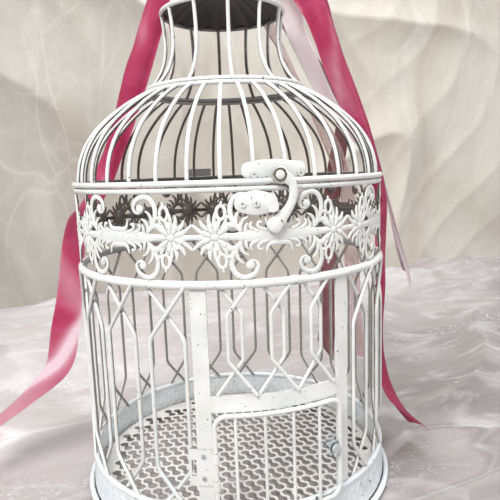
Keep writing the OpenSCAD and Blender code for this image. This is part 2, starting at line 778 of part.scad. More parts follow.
// A flat ribbon swept along its stations [x, y, z, azimuth, tilt]
module ribbon(stations, w) {
    path = route(stations);
    n = len(path);
    along = [for (i = [0 : n - 1]) unit(xyz(path[min(i + 1, n - 1)]) - xyz(path[max(i - 1, 0)]))];
    side = [for (i = [0 : n - 1]) unit(cross(along[i], look(path[i])))];
    points = [for (i = [0 : n - 1]) for (c = [[1, 1], [-1, 1], [-1, -1], [1, -1]])
        xyz(path[i]) + side[i] * c[0] * w / 2 + cross(side[i], along[i]) * c[1] * ribbon_t / 2];
    polyhedron(points = points, convexity = 6, faces = concat([[3, 2, 1, 0]],
        [for (i = [0 : n - 2]) for (k = [0 : 3]) for (half = [0, 1]) let (
            a = 4 * i + k, b = 4 * i + (k + 1) % 4, c = 4 * (i + 1) + (k + 1) % 4, d = 4 * (i + 1) + k)
            k == 2 ? (half == 0 ? [a, b, d] : [b, c, d]) : (half == 0 ? [a, b, c] : [a, c, d])],
        [[4 * n - 4, 4 * n - 3, 4 * n - 2, 4 * n - 1]]));
}

// Stations above the lid ring are given at the model's own height, those of the tails below it too
tail_left_route = [[-4, 3, 462.6, 270, 80], [-28, 5, 465, 270, 75], [-48, 12, 452, 225, 45],
    [-58, 20, 426, 190, 10], [-66, 25, 403, 190, 0], [-71, 32, 386, 190, 0], [-79, 45, 362, 185, 0],
    [-90, 72, 329, 165, 0], [-101, 86, 301, 152, 0], [-112, 93, 277, 146, 0], [-124, 88, 253, 150, 0],
    [-135, 80, 236, 165, 0], [-143, 75, 196, 190, 0], [-149, 70, 157, 215, 0], [-154, 65, 130, 235, 0],
    [-162, 56, 97, 245, 5], [-190, 50, 74, 240, 15], [-216, 45, 58, 245, 20], [-240, 40, 46, 250, 20]];
tail_right_route = [[4, -3, 462.6, -90, 80], [30, -4, 471, -90, 75], [60, -8, 456, -90, 45],
    [85, -10, 425, -100, 10], [96, -12, 399, -105, 0], [106, -14, 373, -100, 0], [118, -15, 347, -90, 0],
    [133, -15, 317, -60, 0], [147, -15, 278, -25, 0], [152, -15, 245, -20, 0], [153, -15, 196, -20, 0],
    [153, -15, 144, -20, 0], [150, -15, 104, -25, 0], [150, -18, 84, -30, 0], [157, -22, 54, -40, 0],
    [165, -32, 33, -50, 5], [174, -46, 22, -60, 10]];
tail_white_route = [[4, 2, 462.6, -90, 80], [28, 7, 467, -90, 75], [52, 10, 452, -90, 45],
    [66, 10, 425, -100, 5], [77, 12, 395, -90, 0], [106, 10, 341, -80, 0], [129, 10, 313, -75, 0],
    [160, 12, 276, -75, 0], [174, 12, 242, -75, 0], [184, 12, 206, -75, 0], [193, 12, 176, -75, 0],
    [198, 12, 158, -75, 0]];
tail_dusty_route = [[4, 5, 462.6, -90, 80], [25, 14, 463, -90, 80], [48, 24, 450, -80, 45],
    [70, 30, 422, -60, 5], [94, 40, 393, -50, 0], [122, 50, 365, -40, 0], [139, 56, 345, -20, 0],
    [143, 59, 315, 5, 0], [137, 60, 279, 20, 0], [132, 62, 240, 25, 0], [130, 62, 186, 25, 0],
    [128, 66, 117, 27, 0], [126, 70, 69, 29, 0]];
tail_lace_route = [[4, 6, 462.6, -90, 80], [24, 18, 459, -90, 80], [46, 36, 444, -70, 45],
    [62, 48, 416, -50, 5], [86, 52, 375, -30, 0], [103, 52, 346, -10, 0], [125, 50, 305, 15, 0],
    [136, 46, 272, 18, 0], [142, 43, 242, 17, 0], [146, 39, 156, 15, 0], [150, 36, 70, 13, 0]];
loop_route = [[6, 0, 463.4, 0, 90], [30, 0, 480, 0, 90], [58, 0, 497, -10, 80], [80, 0, 499, 0, 45],
    [88, 0, 490, 0, 0], [78, 0, 481, 0, -60], [50, 0, 475, 0, -80], [24, 0, 468, 0, -90], [6, 0, 462.4, 0, -90]];

module ribbon_roll() {
    color(raspberry) translate([-9, 0, eye_z]) rotate([0, 90, 0]) cylinder(h = 18, r = core_r);
}

module bow_loops() {
    color(raspberry) for (side = [0, 1]) mirror([side, 0, 0]) ribbon(loop_route, satin_w * 0.8);
}

module tail_left() {
    color(raspberry) ribbon(tail_left_route, satin_w);
}

module tail_right() {
    color(raspberry) ribbon(tail_right_route, satin_w);
}

module tail_white() {
    color("white") ribbon(tail_white_route, white_w);
}

module tail_dusty() {
    color("pink") ribbon(tail_dusty_route, dusty_w);
}

module tail_lace() {
    color("mistyrose") ribbon(tail_lace_route, lace_w);
}

foot_ring();
base_band();
base_rim();
floor_ring();
floor_plate();
wall_wires();
over_door_wires();
door_post_left();
door_post_right();
door_lintel();
girdle_ring();
filigree_band();
body_top_ring();
strike_plate();
strike_screws();
strike_stud();
door_hinge_plate();
door_hinge_rivets();
cage_hinge_leaf();
lid_hinge_pin();
lid_ring();
lid_hinge_leaf();
dome_bars();
neck_ring_lower();
neck_ring_upper();
neck_bars();
cap_rim();
cap_shell();
finial();
top_eye();
latch_plate();
latch_screws();
latch_rivet();
latch_hook();
door_stiles();
door_rails();
door_bars();
door_latch_bracket();
door_latch_lever();
door_latch_knob();
ribbon_roll();
bow_loops();
tail_left();
tail_right();
tail_white();
tail_dusty();
tail_lace();
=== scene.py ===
import json
import math

import bmesh
import bpy
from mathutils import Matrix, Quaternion, Vector, noise


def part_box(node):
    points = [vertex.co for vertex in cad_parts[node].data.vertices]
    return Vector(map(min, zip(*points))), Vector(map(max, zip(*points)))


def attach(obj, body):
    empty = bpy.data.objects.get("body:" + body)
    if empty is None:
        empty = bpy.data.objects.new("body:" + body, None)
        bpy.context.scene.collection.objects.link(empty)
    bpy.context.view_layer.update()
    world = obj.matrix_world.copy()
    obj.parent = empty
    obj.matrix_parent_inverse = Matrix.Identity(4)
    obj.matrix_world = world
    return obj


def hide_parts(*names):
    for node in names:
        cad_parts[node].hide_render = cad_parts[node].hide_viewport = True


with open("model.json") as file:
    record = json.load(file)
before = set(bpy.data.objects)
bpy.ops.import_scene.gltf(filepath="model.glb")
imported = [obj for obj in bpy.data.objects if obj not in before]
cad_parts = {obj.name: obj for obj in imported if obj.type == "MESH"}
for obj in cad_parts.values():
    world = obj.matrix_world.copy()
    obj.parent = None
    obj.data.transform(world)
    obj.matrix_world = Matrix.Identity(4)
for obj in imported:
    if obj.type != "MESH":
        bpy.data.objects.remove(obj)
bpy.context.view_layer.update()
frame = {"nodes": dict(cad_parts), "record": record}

mm = 0.001
print("frame loaded")

# camera, set first
cameraSet = {"place": (-126.85, -473.4, 278.7), "forward": (0.28889, 0.9455, -0.15023), "roll": -1.96,
             "lens": 38.69, "sensor": 36, "near": 0.02}
camera = bpy.data.objects.new("camera", bpy.data.cameras.new("camera"))
bpy.context.scene.collection.objects.link(camera)
camera.data.lens = cameraSet["lens"]
camera.data.sensor_width = cameraSet["sensor"]
camera.data.clip_start = cameraSet["near"]
camera.location = Vector(cameraSet["place"]) * mm
camera.rotation_mode = "QUATERNION"
aim = Vector(cameraSet["forward"]).to_track_quat("-Z", "Y")
camera.rotation_quaternion = aim @ Quaternion((0, 0, 1), math.radians(cameraSet["roll"]))
bpy.context.scene.camera = camera
bpy.context.scene.view_settings.view_transform = "Standard"


def ease(x):
    # a share kept between 0 and 1 that starts and ends softly
    x = min(1, max(0, x))
    return x * x * (3 - 2 * x)


def between(p, q, r, s, t):
    # one value on the smooth curve from q to r
    bend = (2 * p - 5 * q + 4 * r - s) * t * t
    return 0.5 * (2 * q + (r - p) * t + bend + (3 * q - p - 3 * r + s) * t ** 3)


def catmull(points, steps):
    # smooth curve through points of any length
    out = []
    last = len(points) - 1
    for i in range(last):
        four = points[max(i - 1, 0)], points[i], points[i + 1], points[min(i + 2, last)]
        for j in range(steps):
            out.append(tuple(between(*values, j / steps) for values in zip(*four)))
    out.append(tuple(points[last]))
    return out


def arc(centre, radius, start, step, count):
    # points on a circle, a step apart
    angles = [start + step * i for i in range(count)]
    return [(centre[0] + radius * math.cos(a), centre[1] + radius * math.sin(a)) for a in angles]


def makeObject(name, bm, materials, body, slotName, smooth=True):
    mesh = bpy.data.meshes.new(name)
    if body:  # the open cloths of the setting keep the side they were made with
        bmesh.ops.recalc_face_normals(bm, faces=bm.faces[:])
    for face in bm.faces:
        face.smooth = smooth
    bm.to_mesh(mesh)
    bm.free()
    for material in materials:
        mesh.materials.append(material)
    obj = bpy.data.objects.new(name, mesh)
    bpy.context.scene.collection.objects.link(obj)
    if body:
        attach(obj, body)
    return obj


def onWall(radius, turn, zMid):
    # unrolled wall: s runs round to the right, t up, depth outwards, all in mm
    def place(s, t, depth):
        a = math.radians(turn) + s / radius
        r = (radius + depth) * mm
        return Vector((r * math.sin(a), -r * math.cos(a), (zMid + t) * mm))
    return place


def onPlane(turn, radius, zMid):
    # flat plate held against the wall at one azimuth
    a = math.radians(turn)

    def place(s, t, depth):
        r = radius + depth
        return Vector((r * math.sin(a) + s * math.cos(a), -r * math.cos(a) + s * math.sin(a), zMid + t)) * mm
    return place


strokeSet = {"swell": 1.12, "ends": (0.85, 0.5, 0.05), "endReach": 0.8, "shoulder": 0.75}


def roundEnd(ring, way):
    # ever narrower sections past the end of a strip
    centre, along, side, half = ring
    out = [way * half * strokeSet["endReach"] * math.sqrt(1 - c * c) for c in strokeSet["ends"]]
    return [(centre + along * past, along, side, half * c) for past, c in zip(out, strokeSet["ends"])]


def stroke(bm, place, points, widths, back, edge, crown, steps=6, closed=False, brow=0.72):
    # a domed strip along a curve, its ends rounded; the crown begins at brow, a share of the half width
    route = [(p[0], p[1], w * strokeSet["swell"]) for p, w in zip(points, widths)]
    if closed:
        route.append(route[0])
    path = catmull(route, steps)
    if closed:
        path = path[:-1]
    n = len(path)
    rings = []
    for i, (s, t, w) in enumerate(path):
        if closed:
            before, after = path[(i - 1) % n], path[(i + 1) % n]
        else:
            before, after = path[max(i - 1, 0)], path[min(i + 1, n - 1)]
        along = Vector((after[0] - before[0], after[1] - before[1])).normalized()
        side = Vector((-along.y, along.x))
        rings.append((Vector((s, t)), along, side, w / 2))
    if not closed:
        rings = roundEnd(rings[0], -1)[::-1] + rings + roundEnd(rings[-1], 1)
    loops = []
    for centre, along, side, half in rings:
        high = crown * min(1, half)  # thin strips are lower
        shoulder = edge + strokeSet["shoulder"] * high
        section = [(1, back), (1, edge), (brow, shoulder), (0, edge + high),
                   (-brow, shoulder), (-1, edge), (-1, back)]
        flat = [(centre + side * half * across, depth) for across, depth in section]
        loops.append([bm.verts.new(place(p.x, p.y, depth)) for p, depth in flat])
    if closed:
        loops.append(loops[0])
    for a, b in zip(loops, loops[1:]):
        for k in range(len(a)):
            bm.faces.new((a[k - 1], a[k], b[k], b[k - 1]))
    if not closed:
        bm.faces.new(loops[0][::-1])
        bm.faces.new(loops[-1])


def drawRings(bm, sides, rows, place, joined=False):
    # a ring drawn on from row to row, its ends capped or joined; place lays a row's points by cosine and sine
    ring = bmesh.ops.create_circle(bm, segments=sides, radius=1)["verts"]
    first = last = list(dict.fromkeys(edge for vert in ring for edge in vert.link_edges))
    for k, row in enumerate(rows, 1):
        following = []
        if k < len(rows):
            drawn = bmesh.ops.extrude_edge_only(bm, edges=last)["geom"]
            following = [part for part in drawn if isinstance(part, bmesh.types.BMVert)]
            last = [part for part in drawn if isinstance(part, bmesh.types.BMEdge)]
        for vert in ring:
            vert.co = place(row, vert.co.y, -vert.co.x)
        ring = following
    if joined:
        bmesh.ops.bridge_loops(bm, edges=first + last)
    else:
        bmesh.ops.edgeloop_fill(bm, edges=first + last)


def dome(bm, place, s, t, radius, back, edge, crown, sides=20):
    # a domed round boss
    rows = [(radius, back), (radius, edge)]
    rows += [(radius * share, edge + crown * high) for share, high in ((0.86, 0.5), (0.55, 0.86), (0.2, 1))]
    drawRings(bm, sides, rows, lambda row, c, n: place(s + row[0] * c, t + row[0] * n, row[1]))


def node(tree, kind, **values):
    n = tree.nodes.new(kind)
    for key, value in values.items():
        setattr(n, key, value)
    return n


def fill(target, values):
    # plain values for a node's inputs, by name
    for key, value in values.items():
        target.inputs[key].default_value = value


def feed(tree, socket, value):
    # a link, a number or a colour into one input
    if isinstance(value, bpy.types.NodeSocket):
        tree.links.new(value, socket)
    else:
        socket.default_value = (*value, 1) if isinstance(value, tuple) else value


def mapped(tree, coords, scale, **more):
    # stretched coordinates, moved or turned where asked
    mapping = tree.nodes.new("ShaderNodeMapping")
    fill(mapping, {"Scale": scale, **{key.capitalize(): value for key, value in more.items()}})
    tree.links.new(coords, mapping.inputs["Vector"])
    return mapping.outputs["Vector"]


def ramp(tree, source, stops):
    r = tree.nodes.new("ShaderNodeValToRGB")
    while len(r.color_ramp.elements) < len(stops):
        r.color_ramp.elements.new(0.5)
    for element, (place, colour) in zip(r.color_ramp.elements, stops):
        element.position = place
        element.color = (*colour, 1)
    tree.links.new(source, r.inputs["Fac"])
    return r.outputs["Color"]


def rise(tree, source, low, high):
    # nothing below low, all above high
    return ramp(tree, source, [(low, (0, 0, 0)), (high, (1, 1, 1))])


def fall(tree, source, low, high):
    return ramp(tree, source, [(low, (1, 1, 1)), (high, (0, 0, 0))])


def noiseAt(tree, coords, scale, detail=4, stretch=None, distortion=0):
    if stretch:
        coords = mapped(tree, coords, stretch)
    n = tree.nodes.new("ShaderNodeTexNoise")
    fill(n, {"Scale": scale, "Detail": detail, "Distortion": distortion})
    tree.links.new(coords, n.inputs["Vector"])
    return n.outputs["Fac"]


def cellsAt(tree, coords, scale, feature="DISTANCE_TO_EDGE"):
    cells = node(tree, "ShaderNodeTexVoronoi", feature=feature)
    cells.inputs["Scale"].default_value = scale
    tree.links.new(coords, cells.inputs["Vector"])
    return cells.outputs["Distance"]


def parts(tree, coords):
    # X, Y and Z on their own
    split = tree.nodes.new("ShaderNodeSeparateXYZ")
    tree.links.new(coords, split.inputs[0])
    return split.outputs


def mixColour(tree, factor, a, b, kind="MIX"):
    m = node(tree, "ShaderNodeMix", data_type="RGBA", blend_type=kind)
    for socket, value in ((m.inputs[0], factor), (m.inputs[6], a), (m.inputs[7], b)):
        feed(tree, socket, value)
    return m.outputs[2]


def maths(tree, operation, a, b=0):
    m = node(tree, "ShaderNodeMath", operation=operation)
    feed(tree, m.inputs[0], a)
    feed(tree, m.inputs[1], b)
    return m.outputs[0]


def bump(tree, height, strength, distance):
    b = tree.nodes.new("ShaderNodeBump")
    fill(b, {"Strength": strength, "Distance": distance})
    tree.links.new(height, b.inputs["Height"])
    return b.outputs["Normal"]


def startMaterial(name):
    material = bpy.data.materials.new(name)
    material.use_nodes = True
    tree = material.node_tree
    coords = tree.nodes.new("ShaderNodeTexCoord").outputs["Object"]
    return material, tree, tree.nodes["Principled BSDF"], coords


def mixShaders(tree, factor, first, second):
    # the material shows first at a factor of 0 and second at 1
    mix = tree.nodes.new("ShaderNodeMixShader")
    feed(tree, mix.inputs["Fac"], factor)
    tree.links.new(first.outputs[0], mix.inputs[1])
    tree.links.new(second.outputs[0], mix.inputs[2])
    tree.links.new(mix.outputs[0], tree.nodes["Material Output"].inputs["Surface"])


def paint(name, s):
    # worn paint: tone drifts, blue-grey bloom, painted shade in corners and crevices, dark chips
    material, tree, surface, coords = startMaterial(name)
    tone = ramp(tree, noiseAt(tree, coords, s["toneScale"], 3), [(0.35, s["shade"]), (0.6, s["base"])])
    bloom = rise(tree, noiseAt(tree, coords, s["bloomScale"], 2), 0.5, 0.72)
    colour = mixColour(tree, maths(tree, "MULTIPLY", bloom, s["bloomShare"]), tone, s["bloom"])
    # painted shade: ambient occlusion darkens corners and crevices towards a dark colour; the same mask draws
    # the chips towards them
    occlusion = node(tree, "ShaderNodeAmbientOcclusion", samples=6)
    occlusion.inputs["Distance"].default_value = s["creviceShadeReach"]
    creviceShade = fall(tree, occlusion.outputs["AO"], 0.3, 0.85)
    colour = mixColour(tree, maths(tree, "MULTIPLY", creviceShade, s["creviceShadeShare"]), colour, s["creviceShade"])
    if s["inside"]:  # sides that face the cage's axis are darker, mixed towards a dark brown with some noise
        core = (0, 0, -s["coreZ"] * s["coreScale"])
        outward = mapped(tree, coords, (1, 1, s["coreScale"]), location=core)
        unit = node(tree, "ShaderNodeVectorMath", operation="NORMALIZE")
        tree.links.new(outward, unit.inputs[0])
        facing = node(tree, "ShaderNodeVectorMath", operation="DOT_PRODUCT")
        tree.links.new(unit.outputs[0], facing.inputs[0])
        tree.links.new(tree.nodes["Texture Coordinate"].outputs["Normal"], facing.inputs[1])
        drift = maths(tree, "MULTIPLY", noiseAt(tree, coords, 60, 4), 0.9)
        inwardFacing = fall(tree, maths(tree, "ADD", facing.outputs["Value"], drift), 0.1, 0.55)
        colour = mixColour(tree, maths(tree, "MULTIPLY", inwardFacing, s["inside"]), colour, s["inwardDark"])
    fine = noiseAt(tree, coords, s["chipScale"], 5)
    pull = maths(tree, "MULTIPLY", creviceShade, s["chipPull"])
    chips = rise(tree, maths(tree, "ADD", fine, pull), s["chipAt"], s["chipAt"] + 0.03)
    colour = mixColour(tree, chips, colour, s["chip"])
    tree.links.new(colour, surface.inputs["Base Color"])
    rough = maths(tree, "MULTIPLY_ADD", chips, 0.3)
    rough.node.inputs[2].default_value = s["rough"]
    tree.links.new(rough, surface.inputs["Roughness"])
    grain = noiseAt(tree, coords, s["reliefScale"], 3)
    relief = maths(tree, "SUBTRACT", grain, maths(tree, "MULTIPLY", chips, 0.6))
    tree.links.new(bump(tree, relief, s["relief"], 0.0004), surface.inputs["Normal"])
    fill(surface, {"Coat Weight": s["coat"], "Coat Roughness": 0.25})
    return material


whiteSet = {
    "base": (0.86, 0.87, 0.86), "shade": (0.74, 0.76, 0.745), "toneScale": 34,
    "bloom": (0.6, 0.68, 0.74), "bloomScale": 16, "bloomShare": 0.35,
    "creviceShade": (0.16, 0.15, 0.13), "creviceShadeReach": 0.0035, "creviceShadeShare": 0.55,
    "chip": (0.045, 0.038, 0.032), "chipScale": 420, "chipAt": 0.68, "chipPull": 0.14,
    "rough": 0.36, "relief": 0.25, "reliefScale": 700, "coat": 0.15,
    "inside": 0.72, "inwardDark": (0.075, 0.06, 0.048), "coreZ": 0, "coreScale": 0}
white = paint("white_paint_worn", whiteSet)
domePaint = paint("dome_paint_worn", {**whiteSet, "inside": 0.95, "coreZ": 0.26, "coreScale": 1})
band = paint("band_paint_worn", {
    **whiteSet, "creviceShadeReach": 0.002, "creviceShadeShare": 0.7, "chipScale": 520, "relief": 0.4, "inside": 0.95})
basePaint = paint("base_paint_worn", {
    **whiteSet, "base": (0.86, 0.9, 0.93), "shade": (0.7, 0.75, 0.77), "bloom": (0.68, 0.78, 0.86),
    "bloomShare": 0.7, "creviceShadeShare": 0.5, "inside": 0})
floorPaint = paint("floor_paint_worn", {
    **whiteSet, "base": (0.78, 0.77, 0.74), "shade": (0.64, 0.62, 0.59), "chipAt": 0.74, "relief": 0.4,
    "inside": 0})
# painted shade: near-black paint for the cap's underside and the rim's edge
capUndersideShade = paint("cap_underside_painted_shade", {
    **whiteSet, "base": (0.035, 0.027, 0.024), "shade": (0.018, 0.015, 0.014), "bloom": (0.12, 0.1, 0.09),
    "bloomShare": 0.3, "creviceShade": (0.01, 0.01, 0.01), "chip": (0.3, 0.28, 0.26), "chipAt": 0.76, "rough": 0.45,
    "inside": 0})
boltPaint = paint("bolt_paint_worn", {**whiteSet, "creviceShadeReach": 0.0025, "creviceShadeShare": 0.9, "inside": 0})
bare = paint("bare_metal_dull", {
    **whiteSet, "base": (0.6, 0.64, 0.67), "shade": (0.42, 0.45, 0.47), "bloom": (0.5, 0.62, 0.72),
    "bloomShare": 0.6, "creviceShade": (0.02, 0.018, 0.015), "creviceShadeReach": 0.003, "creviceShadeShare": 1, "chipAt": 0.62,
    "rough": 0.4, "inside": 0})
# painted shade: near-black paint for the ring round the latch rivet, standing in for the shade of the groove
# there
rivetCollarShade = paint("rivet_collar_painted_shade", {
    **whiteSet, "base": (0.2, 0.14, 0.075), "shade": (0.07, 0.05, 0.03), "bloom": (0.4, 0.32, 0.2),
    "creviceShade": (0.02, 0.015, 0.01), "creviceShadeShare": 0.9, "chip": (0.04, 0.03, 0.02), "chipAt": 0.6, "rough": 0.35,
    "inside": 0})


def satin(name, s):
    # woven satin: fine ribs across, a selvage, and painted highlights and painted shade from the piece's own
    # gleam values
    material, tree, surface, _ = startMaterial(name)
    uv = tree.nodes.new("ShaderNodeUVMap").outputs["UV"]
    drift = noiseAt(tree, uv, 2.2, 2, (0.6, 0.5, 1))
    colour = ramp(tree, drift, [(0.35, s["base"]), (0.85, s["light"])])
    wave = node(tree, "ShaderNodeTexWave", wave_type="BANDS", bands_direction="Y")
    fill(wave, {"Scale": s["rib"], "Distortion": 0.4})
    tree.links.new(uv, wave.inputs["Vector"])
    edge = maths(tree, "ABSOLUTE", maths(tree, "SUBTRACT", parts(tree, uv)["X"], 0.5))
    selvage = rise(tree, edge, 0.455, 0.47)
    colour = mixColour(tree, maths(tree, "MULTIPLY", selvage, 0.5), colour, s["edge"])
    # painted highlight where gleam is above 0, painted shade where it is below
    gleam = node(tree, "ShaderNodeAttribute", attribute_name="gleam").outputs["Fac"]
    colour = mixColour(tree, rise(tree, gleam, 0, 1), colour, s["gleam"])
    colour = mixColour(tree, rise(tree, maths(tree, "MULTIPLY", gleam, -1), 0, 1), colour, s["shade"])
    tree.links.new(colour, surface.inputs["Base Color"])
    fill(surface, {"Roughness": s["rough"], "Anisotropic": 0.6, "Specular IOR Level": s["gloss"],
                   "Coat Weight": s["gloss"] * 0.5, "Coat Roughness": 0.3, "Sheen Weight": 0.15,
                   "Sheen Roughness": 0.35, "Sheen Tint": (*s["light"], 1)})
    ribs = maths(tree, "MULTIPLY", wave.outputs["Fac"], 0.5)
    height = maths(tree, "ADD", ribs, noiseAt(tree, uv, 60, 2, (1, 0.15, 1)))
    tree.links.new(bump(tree, height, s["relief"], 0.0002), surface.inputs["Normal"])
    through = tree.nodes.new("ShaderNodeBsdfTranslucent")
    tree.links.new(colour, through.inputs["Color"])
    mixShaders(tree, s["through"], surface, through)
    return material


raspberry = satin("raspberry_satin_weave", {
    "base": (0.6, 0.055, 0.17), "shade": (0.33, 0.03, 0.1), "light": (0.72, 0.13, 0.3),
    "edge": (0.7, 0.15, 0.3), "gleam": (0.97, 0.8, 0.88),
    "rib": 14, "rough": 0.34, "gloss": 0.5, "relief": 0.3, "through": 0.12})
whiteSatin = satin("white_satin_weave", {
    "base": (0.88, 0.82, 0.85), "shade": (0.55, 0.38, 0.44), "light": (0.95, 0.92, 0.93),
    "edge": (0.93, 0.9, 0.91), "gleam": (1, 0.98, 0.99),
    "rib": 14, "rough": 0.36, "gloss": 0.45, "relief": 0.3, "through": 0.15})
dusty = satin("dusty_satin_weave", {
    "base": (0.34, 0.16, 0.175), "shade": (0.22, 0.1, 0.12), "light": (0.5, 0.28, 0.3),
    "edge": (0.44, 0.22, 0.24), "gleam": (0.75, 0.6, 0.62),
    "rib": 14, "rough": 0.45, "gloss": 0.3, "relief": 0.3, "through": 0.12})


def laceMaterial(name, s):
    # open net with a worked border and blossoms, the rest see-through
    material, tree, surface, _ = startMaterial(name)
    uv = tree.nodes.new("ShaderNodeUVMap").outputs["UV"]
    place = parts(tree, uv)
    edge = maths(tree, "ABSOLUTE", maths(tree, "SUBTRACT", place["X"], 0.5))
    scallop = maths(tree, "SINE", maths(tree, "MULTIPLY", place["Y"], s["scallops"]))
    scallop = maths(tree, "MULTIPLY", scallop, s["scallopDepth"])
    border = rise(tree, maths(tree, "ADD", edge, scallop), 0.36, 0.39)
    cells = cellsAt(tree, mapped(tree, uv, s["net"]), 1)
    net = fall(tree, cells, 0.1, 0.16)
    blossom = cellsAt(tree, mapped(tree, uv, s["blossom"]), 1, "F1")
    ragged = maths(tree, "MULTIPLY", noiseAt(tree, uv, 9, 2), 0.4)
    petals = fall(tree, maths(tree, "ADD", blossom, ragged), 0.42, 0.46)
    holes = maths(tree, "MULTIPLY", border, ramp(tree, cells, [(0.2, (1, 1, 1)), (0.3, (0.2, 0.2, 0.2))]))
    cover = maths(tree, "MAXIMUM", maths(tree, "MULTIPLY", net, 0.75), maths(tree, "MULTIPLY", petals, 0.7))
    cover = maths(tree, "MAXIMUM", maths(tree, "MAXIMUM", cover, holes), s["cover"])
    tree.links.new(mixColour(tree, border, s["base"], s["edge"]), surface.inputs["Base Color"])
    fill(surface, {"Roughness": 0.7, "Sheen Weight": 0.3})
    mixShaders(tree, cover, tree.nodes.new("ShaderNodeBsdfTransparent"), surface)
    tree.links.new(bump(tree, cover, 0.6, 0.0003), surface.inputs["Normal"])
    return material


lace = laceMaterial("blush_lace", {
    "base": (0.62, 0.4, 0.4), "edge": (0.72, 0.56, 0.54), "cover": 0.42,
    "scallops": 9, "scallopDepth": 0.03, "net": (22, 11, 1), "blossom": (2.2, 1.1, 1)})

# carried-over CAD nodes get the worked materials
finishes = {"white_paint": white, "bare_metal": bare, "raspberry_satin": raspberry,
            "white_ribbon": whiteSatin, "dusty_ribbon": dusty, "lace": lace}
for row in frame["record"]["subparts"]:
    for slot in frame["nodes"][row["node"]].material_slots:
        slot.material = finishes[row["material_slot"]]
otherFinishes = [
    (basePaint, ("base_rim", "foot_ring")),
    (domePaint, ("dome_bars", "neck_bars", "lid_ring")),
    (boltPaint, ("strike_stud", "strike_screws", "door_stiles", "door_rails", "door_bars", "latch_screws"))]
for material, names in otherFinishes:
    for name in names:
        for slot in frame["nodes"][name].material_slots:
            slot.material = material
print("materials made")

bandSet = {"radius": 132.4, "zMid": 233.7, "motifs": 7, "turn": -0.6, "back": -0.5, "edge": 0.35,
           "crown": 0.55, "eyelet": (39.6, 16.4), "eyeletR": (3, 4.6), "eyeletWidth": 2.2,
           "boss": (20.9, 19.7, 3.1), "bossCrown": 0.9, "rosette": 44, "discR": 7.4, "heartR": 3, "petals": 9,
           "petalR": (3.6, 8), "petalWidths": (2.6, 4)}
quarter = [  # points (s, t) and widths, from the bar's middle to the rosette's axis, upper half
    ([(0, 0), (12, 0), (22, 0.2), (31, 0), (38, 0)], [8.4, 7.8, 7, 4.4, 5]),
    ([(0, 5.4), (5.5, 5.4), (8.2, 7.4), (9.4, 11.5)], [3.4, 3.2, 2.2, 1.2]),
    ([(9, 3.6), (12.5, 4.6), (15, 6.8), (14.2, 9.2), (12.4, 8.8)], [2.8, 2.4, 2, 1.8, 1.6]),
    ([(15, 3.2), (18.5, 4.6), (20.4, 7.2), (19.2, 9.2)], [2.6, 2.4, 2, 1.2]),
    ([(21, 17.3), (17.8, 17), (15.3, 20.2), (17.3, 25), (21.8, 27.7), (26.8, 27.9), (31, 25), (33.2, 19.8),
      (33, 14.3), (31.2, 9.8), (28.5, 6)], [2, 1.9, 2.4, 2.9, 3.2, 3.3, 3.3, 3.2, 3.1, 3.2, 3.4]),
    ([(30, 8.2), (29.8, 12.5), (28.2, 16), (25.6, 18.2)], [2.8, 2.4, 1.9, 1]),
    ([(27.2, 5), (26.6, 8.5), (24.6, 11.4), (21.8, 12.8)], [2.8, 2.4, 1.9, 1]),
    ([(23.4, 3.4), (23.2, 6.4), (22, 8.6)], [2.4, 2, 1]),
    ([(38, 5.6), (34, 8), (30.2, 7.4), (26.8, 4.2)], [5, 3.8, 3, 2.8]),
    ([(42.4, 7.5), (40.6, 11.6)], [3.2, 2.6]),
    ([(34.2, 13.4), (37, 13.6)], [2.6, 2.2]),
    ([(39.6, 21), (39, 23.8)], [2, 1.2]),
    ([(50, 0), (55, 0), (59.4, 0)], [6, 3.6, 3.2]),
    ([(51, 2.4), (54.8, 4.6), (58.9, 8.2)], [3.2, 2.8, 1.7]),
    ([(49.5, 5.6), (52.2, 8), (53.8, 11.4)], [3, 2.8, 1.3]),
    ([(46.6, 7.4), (48, 11), (47.6, 15)], [3, 2.6, 1.3]),
    ([(44, 7.6), (44.2, 12), (43.4, 16.6)], [2.8, 2.4, 1.2]),
    ([(38.2, 7), (36.4, 10.6), (36.8, 12.6)], [2.8, 2.2, 1.2])]
bm = bmesh.new()
depths = bandSet["back"], bandSet["edge"]
eyelet = [(bandSet["eyelet"][0] + bandSet["eyeletR"][0] * math.cos(i * math.pi / 4),
           bandSet["eyelet"][1] + bandSet["eyeletR"][1] * math.sin(i * math.pi / 4)) for i in range(8)]


def mirrored(wall, side, up):
    # the wall as seen left or right of a motif's middle, and above or below it
    return lambda s, t, depth: wall(side * s, up * t, depth)


for k in range(bandSet["motifs"]):
    wall = onWall(bandSet["radius"], bandSet["turn"] + 360 * k / bandSet["motifs"], bandSet["zMid"])
    for side in (-1, 1):
        for up in (-1, 1):
            place = mirrored(wall, side, up)
            for points, widths in quarter:
                stroke(bm, place, points, widths, *depths, bandSet["crown"], steps=3)
            rim = [bandSet["eyeletWidth"]] * len(eyelet)
            stroke(bm, place, eyelet, rim, *depths, bandSet["crown"], steps=2, closed=True)
            dome(bm, place, *bandSet["boss"], *depths, bandSet["bossCrown"], 14)
        place = mirrored(wall, side, 1)
        middle = bandSet["rosette"]
        dome(bm, place, middle, 0, bandSet["discR"], *depths, 0.3, 24)
        dome(bm, place, middle, 0, bandSet["heartR"], 0, 0.6, 1.1, 14)
        for petal in range(bandSet["petals"]):
            a = petal * 2 * math.pi / bandSet["petals"] + 0.35
            ends = [(middle + r * math.cos(a), r * math.sin(a)) for r in bandSet["petalR"]]
            stroke(bm, place, ends, bandSet["petalWidths"], depths[0], depths[1] + 0.15, 0.7, steps=3)
filigree = makeObject("filigree_band_worked", bm, [band], "cage", "white_paint")
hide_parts("filigree_band")
print("band made")

